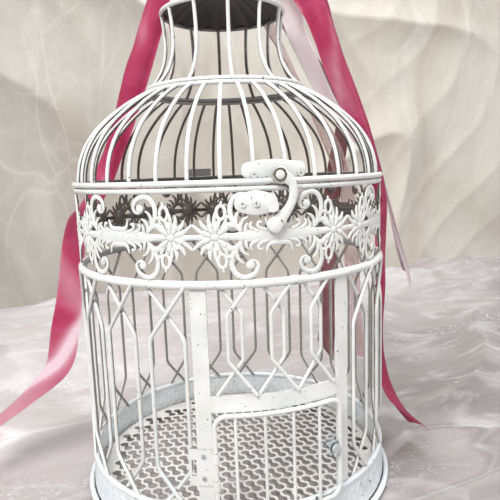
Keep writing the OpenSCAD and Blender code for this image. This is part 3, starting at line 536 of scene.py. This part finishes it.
baseSet = {"topR": 133.4, "footR": 135.6, "height": 32.3, "thick": 1, "flange": 8, "rows": 30, "rise": 0.8,
           "ovals": 76, "perOval": 12, "midR": 134, "ovalZ": 17, "oval": (3.6, 7.6), "ridge": 0.28,
           "bead": (1.4, 3.2), "beadShare": 0.8, "lines": (28, 5.4), "lineHalf": 1.1, "lineShare": 0.6}


def ovalRise(a, z):
    # raised outline of upright ovals round the band, a bead in each, and a line above and below
    pitch = 2 * math.pi / baseSet["ovals"]
    x = ((a / pitch) % 1 - 0.5) * pitch * baseSet["midR"]
    y = z - baseSet["ovalZ"]
    outline = math.hypot(x / baseSet["oval"][0], y / baseSet["oval"][1])
    ridge = ease(1 - abs(outline - 1) / baseSet["ridge"])
    bead = max(0, 1 - math.hypot(x / baseSet["bead"][0], y / baseSet["bead"][1]))
    line = sum(max(0, 1 - abs(z - at) / baseSet["lineHalf"]) for at in baseSet["lines"])
    return baseSet["rise"] * (ridge + baseSet["beadShare"] * bead + baseSet["lineShare"] * min(line, 1))


def basePoint(row, c, n):
    # the band's foot lies below the pattern, so only the wall is raised
    r, z = row
    r += ovalRise(math.atan2(n, c), z)
    return Vector((r * c, r * n, z)) * mm


rows = []
for i in range(baseSet["rows"] + 1):
    z = baseSet["thick"] + (baseSet["height"] - baseSet["thick"]) * i / baseSet["rows"]
    rows.append((baseSet["footR"] + (baseSet["topR"] - baseSet["footR"]) * z / baseSet["height"], z))
rows += [(r - baseSet["thick"], z) for r, z in reversed(rows)]
flangeR = baseSet["footR"] - baseSet["flange"]
rows += [(flangeR, baseSet["thick"]), (flangeR, 0), (baseSet["footR"], 0)]
bm = bmesh.new()
drawRings(bm, baseSet["ovals"] * baseSet["perOval"], rows, basePoint, joined=True)
base = makeObject("base_band_embossed", bm, [basePaint], "cage", "white_paint")
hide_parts("base_band")
print("base made")

floorSet = {"radius": 128.6, "rim": 1.2, "top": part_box("floor_plate")[1][2] / mm, "thick": 1.2, "bevel": 0.25,
            "pitch": 9.9, "lobe": 4.3, "lobePoints": 11, "neck": 34, "turn": 108, "span": 40}
curve = bpy.data.curves.new("floor_cut", "CURVE")
curve.dimensions = "2D"
curve.fill_mode = "BOTH"
curve.extrude = (floorSet["thick"] / 2 - floorSet["bevel"]) * mm
curve.bevel_depth = floorSet["bevel"] * mm
curve.bevel_resolution = 1


def addLoop(points):
    spline = curve.splines.new("POLY")
    spline.points.add(len(points) - 1)
    for point, (x, y) in zip(spline.points, points):
        point.co = (x * mm, y * mm, 0, 1)
    spline.use_cyclic_u = True


addLoop(arc((0, 0), floorSet["radius"], 0, math.pi / 90, 180))
turn = math.radians(floorSet["turn"])
neck = math.radians(floorSet["neck"])
step = 2 * (math.pi - neck) / (floorSet["lobePoints"] - 1)
reach = floorSet["radius"] - floorSet["rim"] - floorSet["lobe"]
e1 = Vector((math.cos(turn), math.sin(turn))) * floorSet["pitch"]
e2 = Vector((math.cos(turn - math.pi / 3), math.sin(turn - math.pi / 3))) * floorSet["pitch"]
for row in range(-floorSet["span"], floorSet["span"] + 1):
    for k in range(-floorSet["span"], floorSet["span"] + 1):
        a = e1 * k + e2 * row
        b = a + e1
        if (k + row) % 2 or a.length > reach or b.length > reach:
            continue
        addLoop(arc(a, floorSet["lobe"], turn + neck, step, floorSet["lobePoints"])
                + arc(b, floorSet["lobe"], turn + math.pi + neck, step, floorSet["lobePoints"]))
holder = bpy.data.objects.new("floor_curve", curve)
bpy.context.scene.collection.objects.link(holder)
mesh = bpy.data.meshes.new_from_object(holder.evaluated_get(bpy.context.evaluated_depsgraph_get()))
bpy.data.objects.remove(holder)
bm = bmesh.new()
bm.from_mesh(mesh)
bmesh.ops.translate(bm, vec=(0, 0, (floorSet["top"] - floorSet["thick"] / 2) * mm), verts=bm.verts[:])
floorPiece = makeObject("floor_pierced", bm, [floorPaint], "cage", "white_paint", smooth=False)
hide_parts("floor_plate")
print("floor made")

capSet = {"rimR": 52.4, "rimZ": 410.8, "height": 20, "flutes": 20, "perFlute": 12, "wave": 1.5, "thick": 1,
          "arch": 2.4, "shares": (0.985, 0.94, 0.88, 0.8, 0.7, 0.6, 0.5, 0.4, 0.3, 0.22, 0.15)}


def capPoint(row, c, n):
    # an arched shell whose flutes fade towards its middle
    share, drop = row
    flute = abs(math.cos(math.atan2(n, c) * capSet["flutes"] / 2)) * 2 - 1
    r = (capSet["rimR"] - drop) * share
    arch = capSet["height"] * (1 - share ** capSet["arch"])
    return Vector((r * c, r * n, capSet["rimZ"] + arch + capSet["wave"] * share * share * flute - drop)) * mm


rows = [(share, capSet["thick"]) for share in reversed(capSet["shares"])]
rows += [(share, 0) for share in capSet["shares"]]
bm = bmesh.new()
drawRings(bm, capSet["flutes"] * capSet["perFlute"], rows, capPoint)
bmesh.ops.recalc_face_normals(bm, faces=bm.faces[:])
for face in bm.faces:
    face.material_index = 0 if face.normal.z > 0 else 1  # painted shade: the underside and the rim's edge take the near-black material
cap = makeObject("cap_fluted", bm, [white, capUndersideShade], "lid", "white_paint")
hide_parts("cap_shell")
print("cap made")

latchTurn = -0.6
hookSet = {"radius": 135.4, "z": 273.9, "thick": 2, "crown": 0.4, "brow": 0.9,
           "widths": [10.2, 7.6, 5.5, 5.1, 5.1, 5.8, 7.8, 10.2],
           "points": [(0, 0), (4.6, -2.2), (8.4, -6), (9.4, -11.5), (8, -18), (4.4, -24), (-0.6, -29.4),
                      (-5, -33.6)]}
plateSet = {"radius": 131.3, "z": 277.2, "thick": 1.4, "crown": 0.3, "brow": 0.93,
            "widths": [9.6, 12, 12.4, 11.2, 9.4],
            "points": [(-20.4, 0), (-10, 0.2), (0, 0), (9, -0.3), (17, 0)]}
strikeSet = {"radius": 132.9, "z": 255.9, "thick": 1.4, "crown": 0.3, "brow": 0.94,
             "widths": [11.5, 15, 11.5], "points": [(-25.4, 0), (-16, 0), (-6, -0.4)]}
rivetSet = {"radius": 3.2, "sunk": 1, "edge": 0.3, "crown": 0.7, "collarR": 4.1, "collarWidth": 1.2}


def workedPlate(name, place, s, body):
    # a flat piece with softly rounded edges
    bm = bmesh.new()
    edge = s["thick"] - s["crown"]
    stroke(bm, place, s["points"], s["widths"], 0, edge, s["crown"], steps=8, brow=s["brow"])
    return makeObject(name, bm, [white], body, "white_paint")


place = onPlane(latchTurn, hookSet["radius"], hookSet["z"])
hook = workedPlate("latch_hook_worked", place, hookSet, "hook")
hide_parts("latch_hook")
place = onWall(plateSet["radius"], latchTurn, plateSet["z"])
latchPlate = workedPlate("latch_plate_worked", place, plateSet, "lid")
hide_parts("latch_plate")
place = onWall(strikeSet["radius"], latchTurn, strikeSet["z"])
strike = workedPlate("strike_plate_worked", place, strikeSet, "cage")
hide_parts("strike_plate")
place = onPlane(latchTurn, hookSet["radius"] + hookSet["thick"], hookSet["z"])
bm = bmesh.new()
dome(bm, place, 0, 0, rivetSet["radius"], -rivetSet["sunk"], rivetSet["edge"], rivetSet["crown"])
rivet = makeObject("latch_rivet_dome", bm, [white], "lid", "bare_metal")
# painted shade: a dark ring round the rivet's dome
bm = bmesh.new()
collar = arc((0, 0), rivetSet["collarR"], 0, math.pi / 4, 8)
stroke(bm, place, collar, [rivetSet["collarWidth"]] * 8, -0.4, 0.1, 0.3, steps=4, closed=True)
makeObject("latch_rivet_collar", bm, [rivetCollarShade], "lid", "bare_metal")
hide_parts("latch_rivet")
print("latch made")

ribbonSet = {"steps": 9, "columns": 9, "thick": 0.35, "pinch": lambda share: 1, "repeat": 20, "creaseRun": 34,
             "leastCurl": 0.3, "curl": 0, "curlFrom": 0.7, "curlOver": 0.3, "curlEnd": 1.1, "uncurlOver": 0.2,
             "slant": 0, "slantFrom": 0.93, "skew": 2.1, "gleams": (), "stripes": (), "area": None}


def gleamAt(s, share, u):
    # painted highlight above 0 and painted shade below: bands across the cloth, and stripes along a stretch of
    # it
    light = 0
    for at, reach, much, lean in s["gleams"]:
        light += much * math.exp(-((share + lean * u - at) / reach) ** 2)
    for at, reach, start, stop, much in s["stripes"]:
        past = 1.7 * (share - (start + stop) / 2) / (stop - start)
        light += much * math.exp(-((u - at) / reach) ** 2 - past ** 4)
    return light


def ribbonPiece(name, stations, width, material, slotName, settings):
    # cloth swept along stations in mm (x, y, z) and degrees (azimuth and tilt of its face), cupped and curled
    s = {**ribbonSet, **settings}
    path = catmull(stations, s["steps"])
    n = len(path)
    columns = s["columns"]
    bm = bmesh.new()
    uvLayer = bm.loops.layers.uv.new("UVMap")
    gleam = bm.verts.layers.float.new("gleam")
    grid, run, walked = [], [], 0
    for i, p in enumerate(path):
        here = Vector(p[:3])
        before, after = Vector(path[max(i - 1, 0)][:3]), Vector(path[min(i + 1, n - 1)][:3])
        along = (after - before).normalized()
        az, tilt = math.radians(p[3]), math.radians(p[4])
        look = Vector((math.cos(az) * math.cos(tilt), math.sin(az) * math.cos(tilt), math.sin(tilt)))
        side = along.cross(look).normalized()
        normal = side.cross(along)
        if i:
            walked += (here - Vector(path[i - 1][:3])).length
        run.append(walked)
        share = i / (n - 1)
        w = width * s["pinch"](share)
        opened = ease((share - s["curlEnd"]) / s["uncurlOver"])
        curl = s["leastCurl"] + s["curl"] * ease((share - s["curlFrom"]) / s["curlOver"]) * (1 - opened)
        end = max(0, (share - s["slantFrom"]) / (1 - s["slantFrom"]))
        row = []
        for c in range(columns):
            u = c / (columns - 1) - 0.5
            across, sink = math.sin(u * curl) / curl, (1 - math.cos(u * curl)) / curl
            shift = s["cup"] * (4 * u * u - 0.5) * math.sin(walked / s["cupRun"] + s["phase"])
            shift += s["wave"] * math.sin(walked / s["waveRun"] + s["skew"] * u + s["phase"])
            shift += s["crease"] * noise.noise(Vector((u * 2.2 + s["phase"], walked / s["creaseRun"], 1.7)))
            back = along * s["slant"] * u * end
            vert = bm.verts.new((here + side * across * w + normal * (shift - sink * w) + back) * mm)
            # painted highlight and painted shade, kept on each vertex
            vert[gleam] = gleamAt(s, share, u)
            row.append(vert)
        grid.append(row)
    for i in range(n - 1):
        for c in range(columns - 1):
            face = bm.faces.new((grid[i][c], grid[i][c + 1], grid[i + 1][c + 1], grid[i + 1][c]))
            for loop, (cc, ii) in zip(face.loops, ((c, i), (c + 1, i), (c + 1, i + 1), (c, i + 1))):
                loop[uvLayer].uv = (cc / (columns - 1), run[ii] / s["repeat"])
    bmesh.ops.solidify(bm, geom=bm.faces[:], thickness=s["thick"] * mm)
    obj = makeObject(name, bm, [material], "ribbons", slotName)
    return obj


tailSets = {
    "tail_left": ("raspberry_satin", raspberry, 36, [
        (-4, 3, 462.6, 270, 80), (-28, 5, 465, 270, 75), (-48, 12, 452, 235, 45), (-58, 20, 426, 220, 10),
        (-66, 25, 403, 220, 0), (-71, 32, 386, 222, 0), (-79, 45, 362, 225, 0), (-90, 72, 329, 215, 0),
        (-101, 86, 301, 210, 0), (-112, 93, 277, 208, 0), (-124, 88, 253, 208, 0), (-135, 80, 236, 212, 0),
        (-143, 75, 196, 220, 0), (-149, 70, 157, 224, 0), (-154, 65, 130, 226, 8), (-162, 56, 97, 219, 34),
        (-190, 50, 74, 201, 59), (-216, 45, 58, 184, 63), (-240, 40, 46, 170, 65)],
        {"cup": 1.6, "cupRun": 60, "wave": 0.8, "waveRun": 23, "crease": 1.4, "phase": 0.4, "slant": -22,
         "curl": 2.3, "curlFrom": 0.06, "curlOver": 0.1, "curlEnd": 0.45,
         "stripes": [(0.05, 0.05, 0.1, 0.3, 0.22), (-0.35, 0.2, 0.08, 0.35, -0.3)],
         "gleams": [(0.235, 0.03, 0.2, 0.05), (0.6, 0.05, -0.6, 0.02), (0.7, 0.035, 0.34, 0.04),
                    (0.755, 0.015, -0.15, 0), (0.82, 0.028, 1.2, -0.1), (0.93, 0.09, 0.5, 0)]}),
    "tail_right": ("raspberry_satin", raspberry, 36, [
        (4, -3, 462.6, -90, 80), (30, -4, 471, -90, 75), (60, -8, 456, -90, 45), (85, -10, 425, -95, 10),
        (96, -12, 399, -80, 0), (106, -14, 373, -70, 0), (118, -15, 347, -62, 0), (133, -15, 317, -50, 0),
        (147, -15, 278, -30, 0), (152, -15, 245, -28, 0), (153, -15, 196, -27, 0), (153, -15, 144, -25, 0),
        (150, -15, 104, -28, 0), (150, -18, 84, -27, 5), (157, -22, 54, -24, 12), (165, -32, 33, -12, 24),
        (174, -46, 22, -4, 31)],
        {"cup": 1.8, "cupRun": 66, "wave": 0.8, "waveRun": 26, "crease": 1.4, "phase": 2.2, "slant": 24,
         "curl": 3.2, "curlFrom": 0.08, "curlOver": 0.2, "curlEnd": 0.78,
         "stripes": [(-0.34, 0.17, 0.06, 0.34, -0.85), (-0.1, 0.035, 0.06, 0.4, 0.35),
                     (0.3, 0.15, 0.3, 0.42, 0.25)],
         "gleams": [(0.27, 0.02, 0.25, -0.25), (0.5, 0.04, -0.5, 0.1), (0.62, 0.03, 0.12, 0),
                    (0.78, 0.05, -0.45, 0), (0.95, 0.05, -0.6, 0)]}),
    "tail_white": ("white_ribbon", whiteSatin, 20, [
        (4, 2, 462.6, -90, 80), (28, 7, 467, -90, 75), (52, 10, 452, -90, 45), (66, 10, 425, -100, 5),
        (77, 12, 395, -90, 0), (106, 10, 341, -60, 0), (129, 10, 313, -45, 0), (160, 12, 276, -32, 0),
        (174, 12, 242, -28, 0), (184, 12, 206, -25, 0), (193, 12, 176, -22, 0), (198, 12, 158, -20, 0)],
        {"cup": 1.2, "cupRun": 40, "wave": 0.6, "waveRun": 20, "crease": 0.9, "phase": 1.1, "slant": 16,
         "curl": 1.6, "curlFrom": 0.45, "gleams": [(0.3, 0.05, 0.8, 0.1), (0.17, 0.03, -0.4, 0.1),
                                                    (0.6, 0.05, 0.6, 0), (0.85, 0.12, -0.8, 0.3)]}),
    "tail_dusty": ("dusty_ribbon", dusty, 24, [
        (4, 5, 462.6, -90, 80), (25, 14, 463, -90, 80), (48, 24, 450, -80, 45), (70, 30, 422, -60, 5),
        (94, 40, 393, -50, 0), (122, 50, 365, -40, 0), (139, 56, 345, -20, 0), (143, 59, 315, 5, 0),
        (137, 60, 279, 20, 0), (132, 62, 240, 25, 0), (130, 62, 186, 25, 0), (128, 66, 117, 27, 0),
        (126, 70, 69, 29, 0)],
        {"cup": 1.2, "cupRun": 45, "wave": 0.6, "waveRun": 24, "crease": 0.9, "phase": 3.1, "slant": 18}),
    "tail_lace": ("lace", lace, 22, [
        (4, 6, 462.6, -90, 80), (24, 18, 459, -90, 80), (46, 36, 444, -70, 45), (62, 48, 416, -50, 5),
        (86, 52, 375, -30, 0), (103, 52, 346, -10, 0), (125, 50, 305, 15, 0), (136, 46, 272, 18, 0),
        (142, 43, 242, 17, 0), (146, 39, 156, 15, 0), (150, 36, 70, 13, 0)],
        {"cup": 1.0, "cupRun": 38, "wave": 0.5, "waveRun": 19, "crease": 0.8, "phase": 0.9, "columns": 11})}
for name, (slotName, material, width, stations, settings) in tailSets.items():
    piece = ribbonPiece(name + "_cloth", stations, width, material, slotName, settings)
    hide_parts(name)

loopRoute = [(6, 0, 462.8, 0, 90), (30, 0, 480, 0, 90), (58, 0, 497, -10, 80), (80, 0, 499, 0, 45),
             (88, 0, 490, 0, 0), (78, 0, 481, 0, -60), (50, 0, 475, 0, -80), (24, 0, 468, 0, -90),
             (6, 0, 462.6, 0, -90)]
loopSet = {"cup": 0.8, "cupRun": 30, "wave": 0.6, "waveRun": 16, "crease": 1, "steps": 12, "columns": 11,
           "pinch": lambda share: 0.42 + 0.58 * math.sin(math.pi * share) ** 0.6}
loopWidth = 29
loopArea = loopWidth * mm * 0.155
for name, side, phase in (("bow_loop_right", 1, 0.5), ("bow_loop_left", -1, 1.9)):
    route = [(side * x, y, z, az if side > 0 else 180 - az, tilt) for x, y, z, az, tilt in loopRoute]
    settings = {**loopSet, "phase": phase, "area": loopArea}
    ribbonPiece(name, route, loopWidth, raspberry, "raspberry_satin", settings)
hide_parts("bow_loops")
print("ribbons made")


def foldAt(tree, coords, scale, stretch, wander):
    # how far a point lies from the nearest fold of crumpled cloth
    bent = mapped(tree, coords, stretch, rotation=(0, math.radians(24), math.radians(17)))
    warp = noiseAt(tree, bent, scale * 0.7, 2).node
    away = node(tree, "ShaderNodeVectorMath", operation="MULTIPLY_ADD")
    away.inputs[1].default_value = (wander, wander, wander)
    tree.links.new(warp.outputs["Color"], away.inputs[0])
    tree.links.new(bent, away.inputs[2])
    return cellsAt(tree, away.outputs["Vector"], scale)


def clothMaterial(name, s):
    # crumpled cloth: a wash of tones, painted sheen streaks, painted highlights along the folds with painted
    # shade in the hollows beside them, and small painted glints
    material, tree, surface, coords = startMaterial(name)
    wash = noiseAt(tree, coords, s["scale"], 5, s["stretch"], 1.2)
    colour = ramp(tree, wash, [(0.3, s["shade"]), (0.5, s["base"]), (0.72, s["light"])])
    place = parts(tree, coords)
    # painted light: the colour is multiplied by a gradient across X and along the lift axis, lighter on one
    # side and darker on the other
    drift = maths(tree, "ADD", place["X"], maths(tree, "MULTIPLY", place[s["lift"]], s["liftShare"]))
    drift = maths(tree, "MULTIPLY", maths(tree, "ADD", drift, 0.5), s["span"])
    tone = ramp(tree, drift, [(0.15, s["left"]), (0.85, s["right"])])
    colour = mixColour(tree, 1, colour, tone, "MULTIPLY")
    # painted sheen: streaks mixed towards the gleam colour
    streak = rise(tree, noiseAt(tree, coords, s["streakScale"], 6, s["streak"], 2.5), 0.52, 0.66)
    colour = mixColour(tree, maths(tree, "MULTIPLY", streak, s["streakShare"]), colour, s["gleam"])
    big = foldAt(tree, coords, s["foldScale"], s["fold"], 0.5)
    small = foldAt(tree, coords, s["foldScale"] * 2.6, s["fold"], 0.3)
    mask = rise(tree, noiseAt(tree, coords, s["foldScale"] * 0.8, 2), 0.42, 0.6)
    # painted highlight: light lines along the folds
    bold = fall(tree, big, 0, 0.02)
    faint = maths(tree, "MULTIPLY", fall(tree, small, 0, 0.05), s["fineShare"])
    crease = maths(tree, "MULTIPLY", maths(tree, "MAXIMUM", bold, faint), mask)
    # painted shade: a darker band beside the big folds
    beside = ramp(tree, big, [(0.01, (0, 0, 0)), (0.05, (1, 1, 1)), (0.3, (0, 0, 0))])
    pocketShade = maths(tree, "MULTIPLY", beside, mask)
    colour = mixColour(tree, maths(tree, "MULTIPLY", pocketShade, s["pocketShadeShare"]), colour, s["shade"])
    # painted glints: small light specks in patches
    sparkle = rise(tree, noiseAt(tree, coords, 230, 3, None, 1.5), 0.56, 0.66)
    patch = rise(tree, noiseAt(tree, coords, 7, 4, s["fold"], 1), 0.5, 0.66)
    glint = maths(tree, "MULTIPLY", sparkle, patch)
    # painted highlight: the fold lines and glints lighten the colour towards the gleam colour
    paintedHighlight = maths(tree, "MULTIPLY", crease, s["creaseHighlightShare"])
    paintedHighlight = maths(tree, "MAXIMUM", paintedHighlight, maths(tree, "MULTIPLY", glint, s["glint"]))
    colour = mixColour(tree, paintedHighlight, colour, s["gleam"])
    tree.links.new(colour, surface.inputs["Base Color"])
    fill(surface, {"Roughness": 0.55, "Sheen Weight": 0.4})
    facets = maths(tree, "ADD", big, maths(tree, "MULTIPLY", small, 0.45))
    soft = maths(tree, "MULTIPLY", noiseAt(tree, coords, 14, 3, None, 1.2), 0.4)
    tree.links.new(bump(tree, maths(tree, "ADD", soft, facets), s["relief"], 0.012), surface.inputs["Normal"])
    if s["oneSided"]:  # seen only where its faces turn away, which is from the object's side
        back = tree.nodes.new("ShaderNodeNewGeometry").outputs["Backfacing"]
        mixShaders(tree, back, tree.nodes.new("ShaderNodeBsdfTransparent"), surface)
    return material


silk = clothMaterial("backdrop_silk", {
    "scale": 3.2, "stretch": (1, 1, 0.55), "shade": (0.42, 0.38, 0.335), "base": (0.5, 0.475, 0.43),
    "light": (0.57, 0.55, 0.51), "streakScale": 7, "streak": (1, 1, 0.5), "streakShare": 0.22,
    "gleam": (0.66, 0.64, 0.6), "relief": 0.35, "lift": "Z", "liftShare": 0.12, "span": 0.72,
    "left": (0.76, 0.75, 0.74), "right": (1.24, 1.23, 1.21), "foldScale": 3.4, "fold": (1.5, 1, 0.7),
    "creaseHighlightShare": 0.3, "fineShare": 0.5, "pocketShadeShare": 0.2, "glint": 0.3, "oneSided": True})
organza = clothMaterial("table_organza", {
    "scale": 4.5, "stretch": (0.8, 1, 1), "shade": (0.42, 0.38, 0.38), "base": (0.55, 0.52, 0.525),
    "light": (0.66, 0.65, 0.66), "streakScale": 11, "streak": (0.5, 1, 1), "streakShare": 0.35,
    "gleam": (0.78, 0.77, 0.79), "relief": 0.4, "lift": "Y", "liftShare": -1.6, "span": 1.2,
    "left": (0.88, 0.87, 0.87), "right": (0.34, 0.325, 0.32), "foldScale": 4.5, "fold": (0.55, 1.7, 1),
    "creaseHighlightShare": 0.3, "fineShare": 0.15, "pocketShadeShare": 0.6, "glint": 0.75, "oneSided": False})


def clothSheet(name, columns, rows, shape, material):
    # a grid laid out by shape, which takes two shares from 0 to 1, its faces turned away from the object
    bm = bmesh.new()
    bmesh.ops.create_grid(bm, x_segments=columns, y_segments=rows, size=1)
    for vert in bm.verts:
        vert.co = shape((vert.co.x + 1) / 2, (vert.co.y + 1) / 2)
    bmesh.ops.reverse_faces(bm, faces=bm.faces[:])
    obj = makeObject(name, bm, [material], None, None)
    return obj


def pleats(x, y, turn, spacing, wander, seed):
    # gathered folds: crisp ridges over round valleys, each fading in and out along its length
    c, n = math.cos(turn), math.sin(turn)
    u, v = x * c + y * n, y * c - x * n
    phase = u / spacing + wander * noise.noise(Vector((v * 2.4, u * 1.3, seed)))
    ridge = 1 - abs(math.sin(math.pi * phase))
    fade = 0.5 + noise.noise(Vector((u * 2.1 + seed, v * 1.1, seed * 2)))
    return max(0, min(1, fade)) * ridge ** 2


def heaped(x, y, folds):
    # folds are a height, then what pleats takes
    return sum(height * pleats(x, y, *fold) for height, *fold in folds)


tableSet = {"corner": (-1.1, -0.7), "size": (2.3, 1.5), "flatR": 0.15, "fade": 0.2, "sunk": 0.0008,
            "folds": [(0.055, 0.9, 0.28, 1.1, 1.7), (0.032, 1.9, 0.19, 1.1, 5.1),
                      (0.009, 1.4, 0.085, 1.2, 8.2)]}
backSet = {"corner": (-1.3, -0.05), "size": (2.6, 1.3), "behind": 0.72, "skew": 0.08,
           "folds": [(0.05, 0.75, 0.42, 1, 3.3), (0.02, 0.35, 0.23, 1.1, 6.4), (0.004, -0.6, 0.12, 1.2, 4.7)]}


def tableShape(u, v):
    # flat under the object, heaped up around it
    x, y = tableSet["corner"][0] + tableSet["size"][0] * u, tableSet["corner"][1] + tableSet["size"][1] * v
    away = min(1, max(0, (math.hypot(x, y) - tableSet["flatR"]) / tableSet["fade"]))
    return Vector((x, y, heaped(x, y, tableSet["folds"]) * away - tableSet["sunk"]))


def backShape(u, v):
    x, z = backSet["corner"][0] + backSet["size"][0] * u, backSet["corner"][1] + backSet["size"][1] * v
    return Vector((x, backSet["behind"] + backSet["skew"] * u - heaped(x, z, backSet["folds"]), z))


clothSheet("table_cloth", 460, 300, tableShape, organza)
clothSheet("backdrop", 400, 200, backShape, silk)

lightSet = {  # place, target, size, power and colour
    "key": ((-0.9, -1, 1.5), (0, 0, 0.25), 0.7, 34, (1, 0.985, 0.96)),
    "window": ((0.3, 0.35, 1.5), (0, 0.1, 0.3), 0.9, 14, (0.96, 0.98, 1)),
    "fill": ((1.2, -0.9, 0.7), (0, 0, 0.25), 0.8, 6, (1, 0.98, 0.97))}
for name, (place, target, size, power, colour) in lightSet.items():
    light = bpy.data.lights.new(name, "AREA")
    light.size = size
    light.energy = power
    light.color = colour
    lamp = bpy.data.objects.new(name, light)
    lamp.location = place
    lamp.rotation_mode = "QUATERNION"
    lamp.rotation_quaternion = (Vector(target) - Vector(place)).to_track_quat("-Z", "Y")
    bpy.context.scene.collection.objects.link(lamp)
world = bpy.data.worlds.new("room")
bpy.context.scene.world = world
world.use_nodes = True
fill(world.node_tree.nodes["Background"], {"Color": (1, 0.98, 0.96, 1), "Strength": 0.5})
print("setting made")
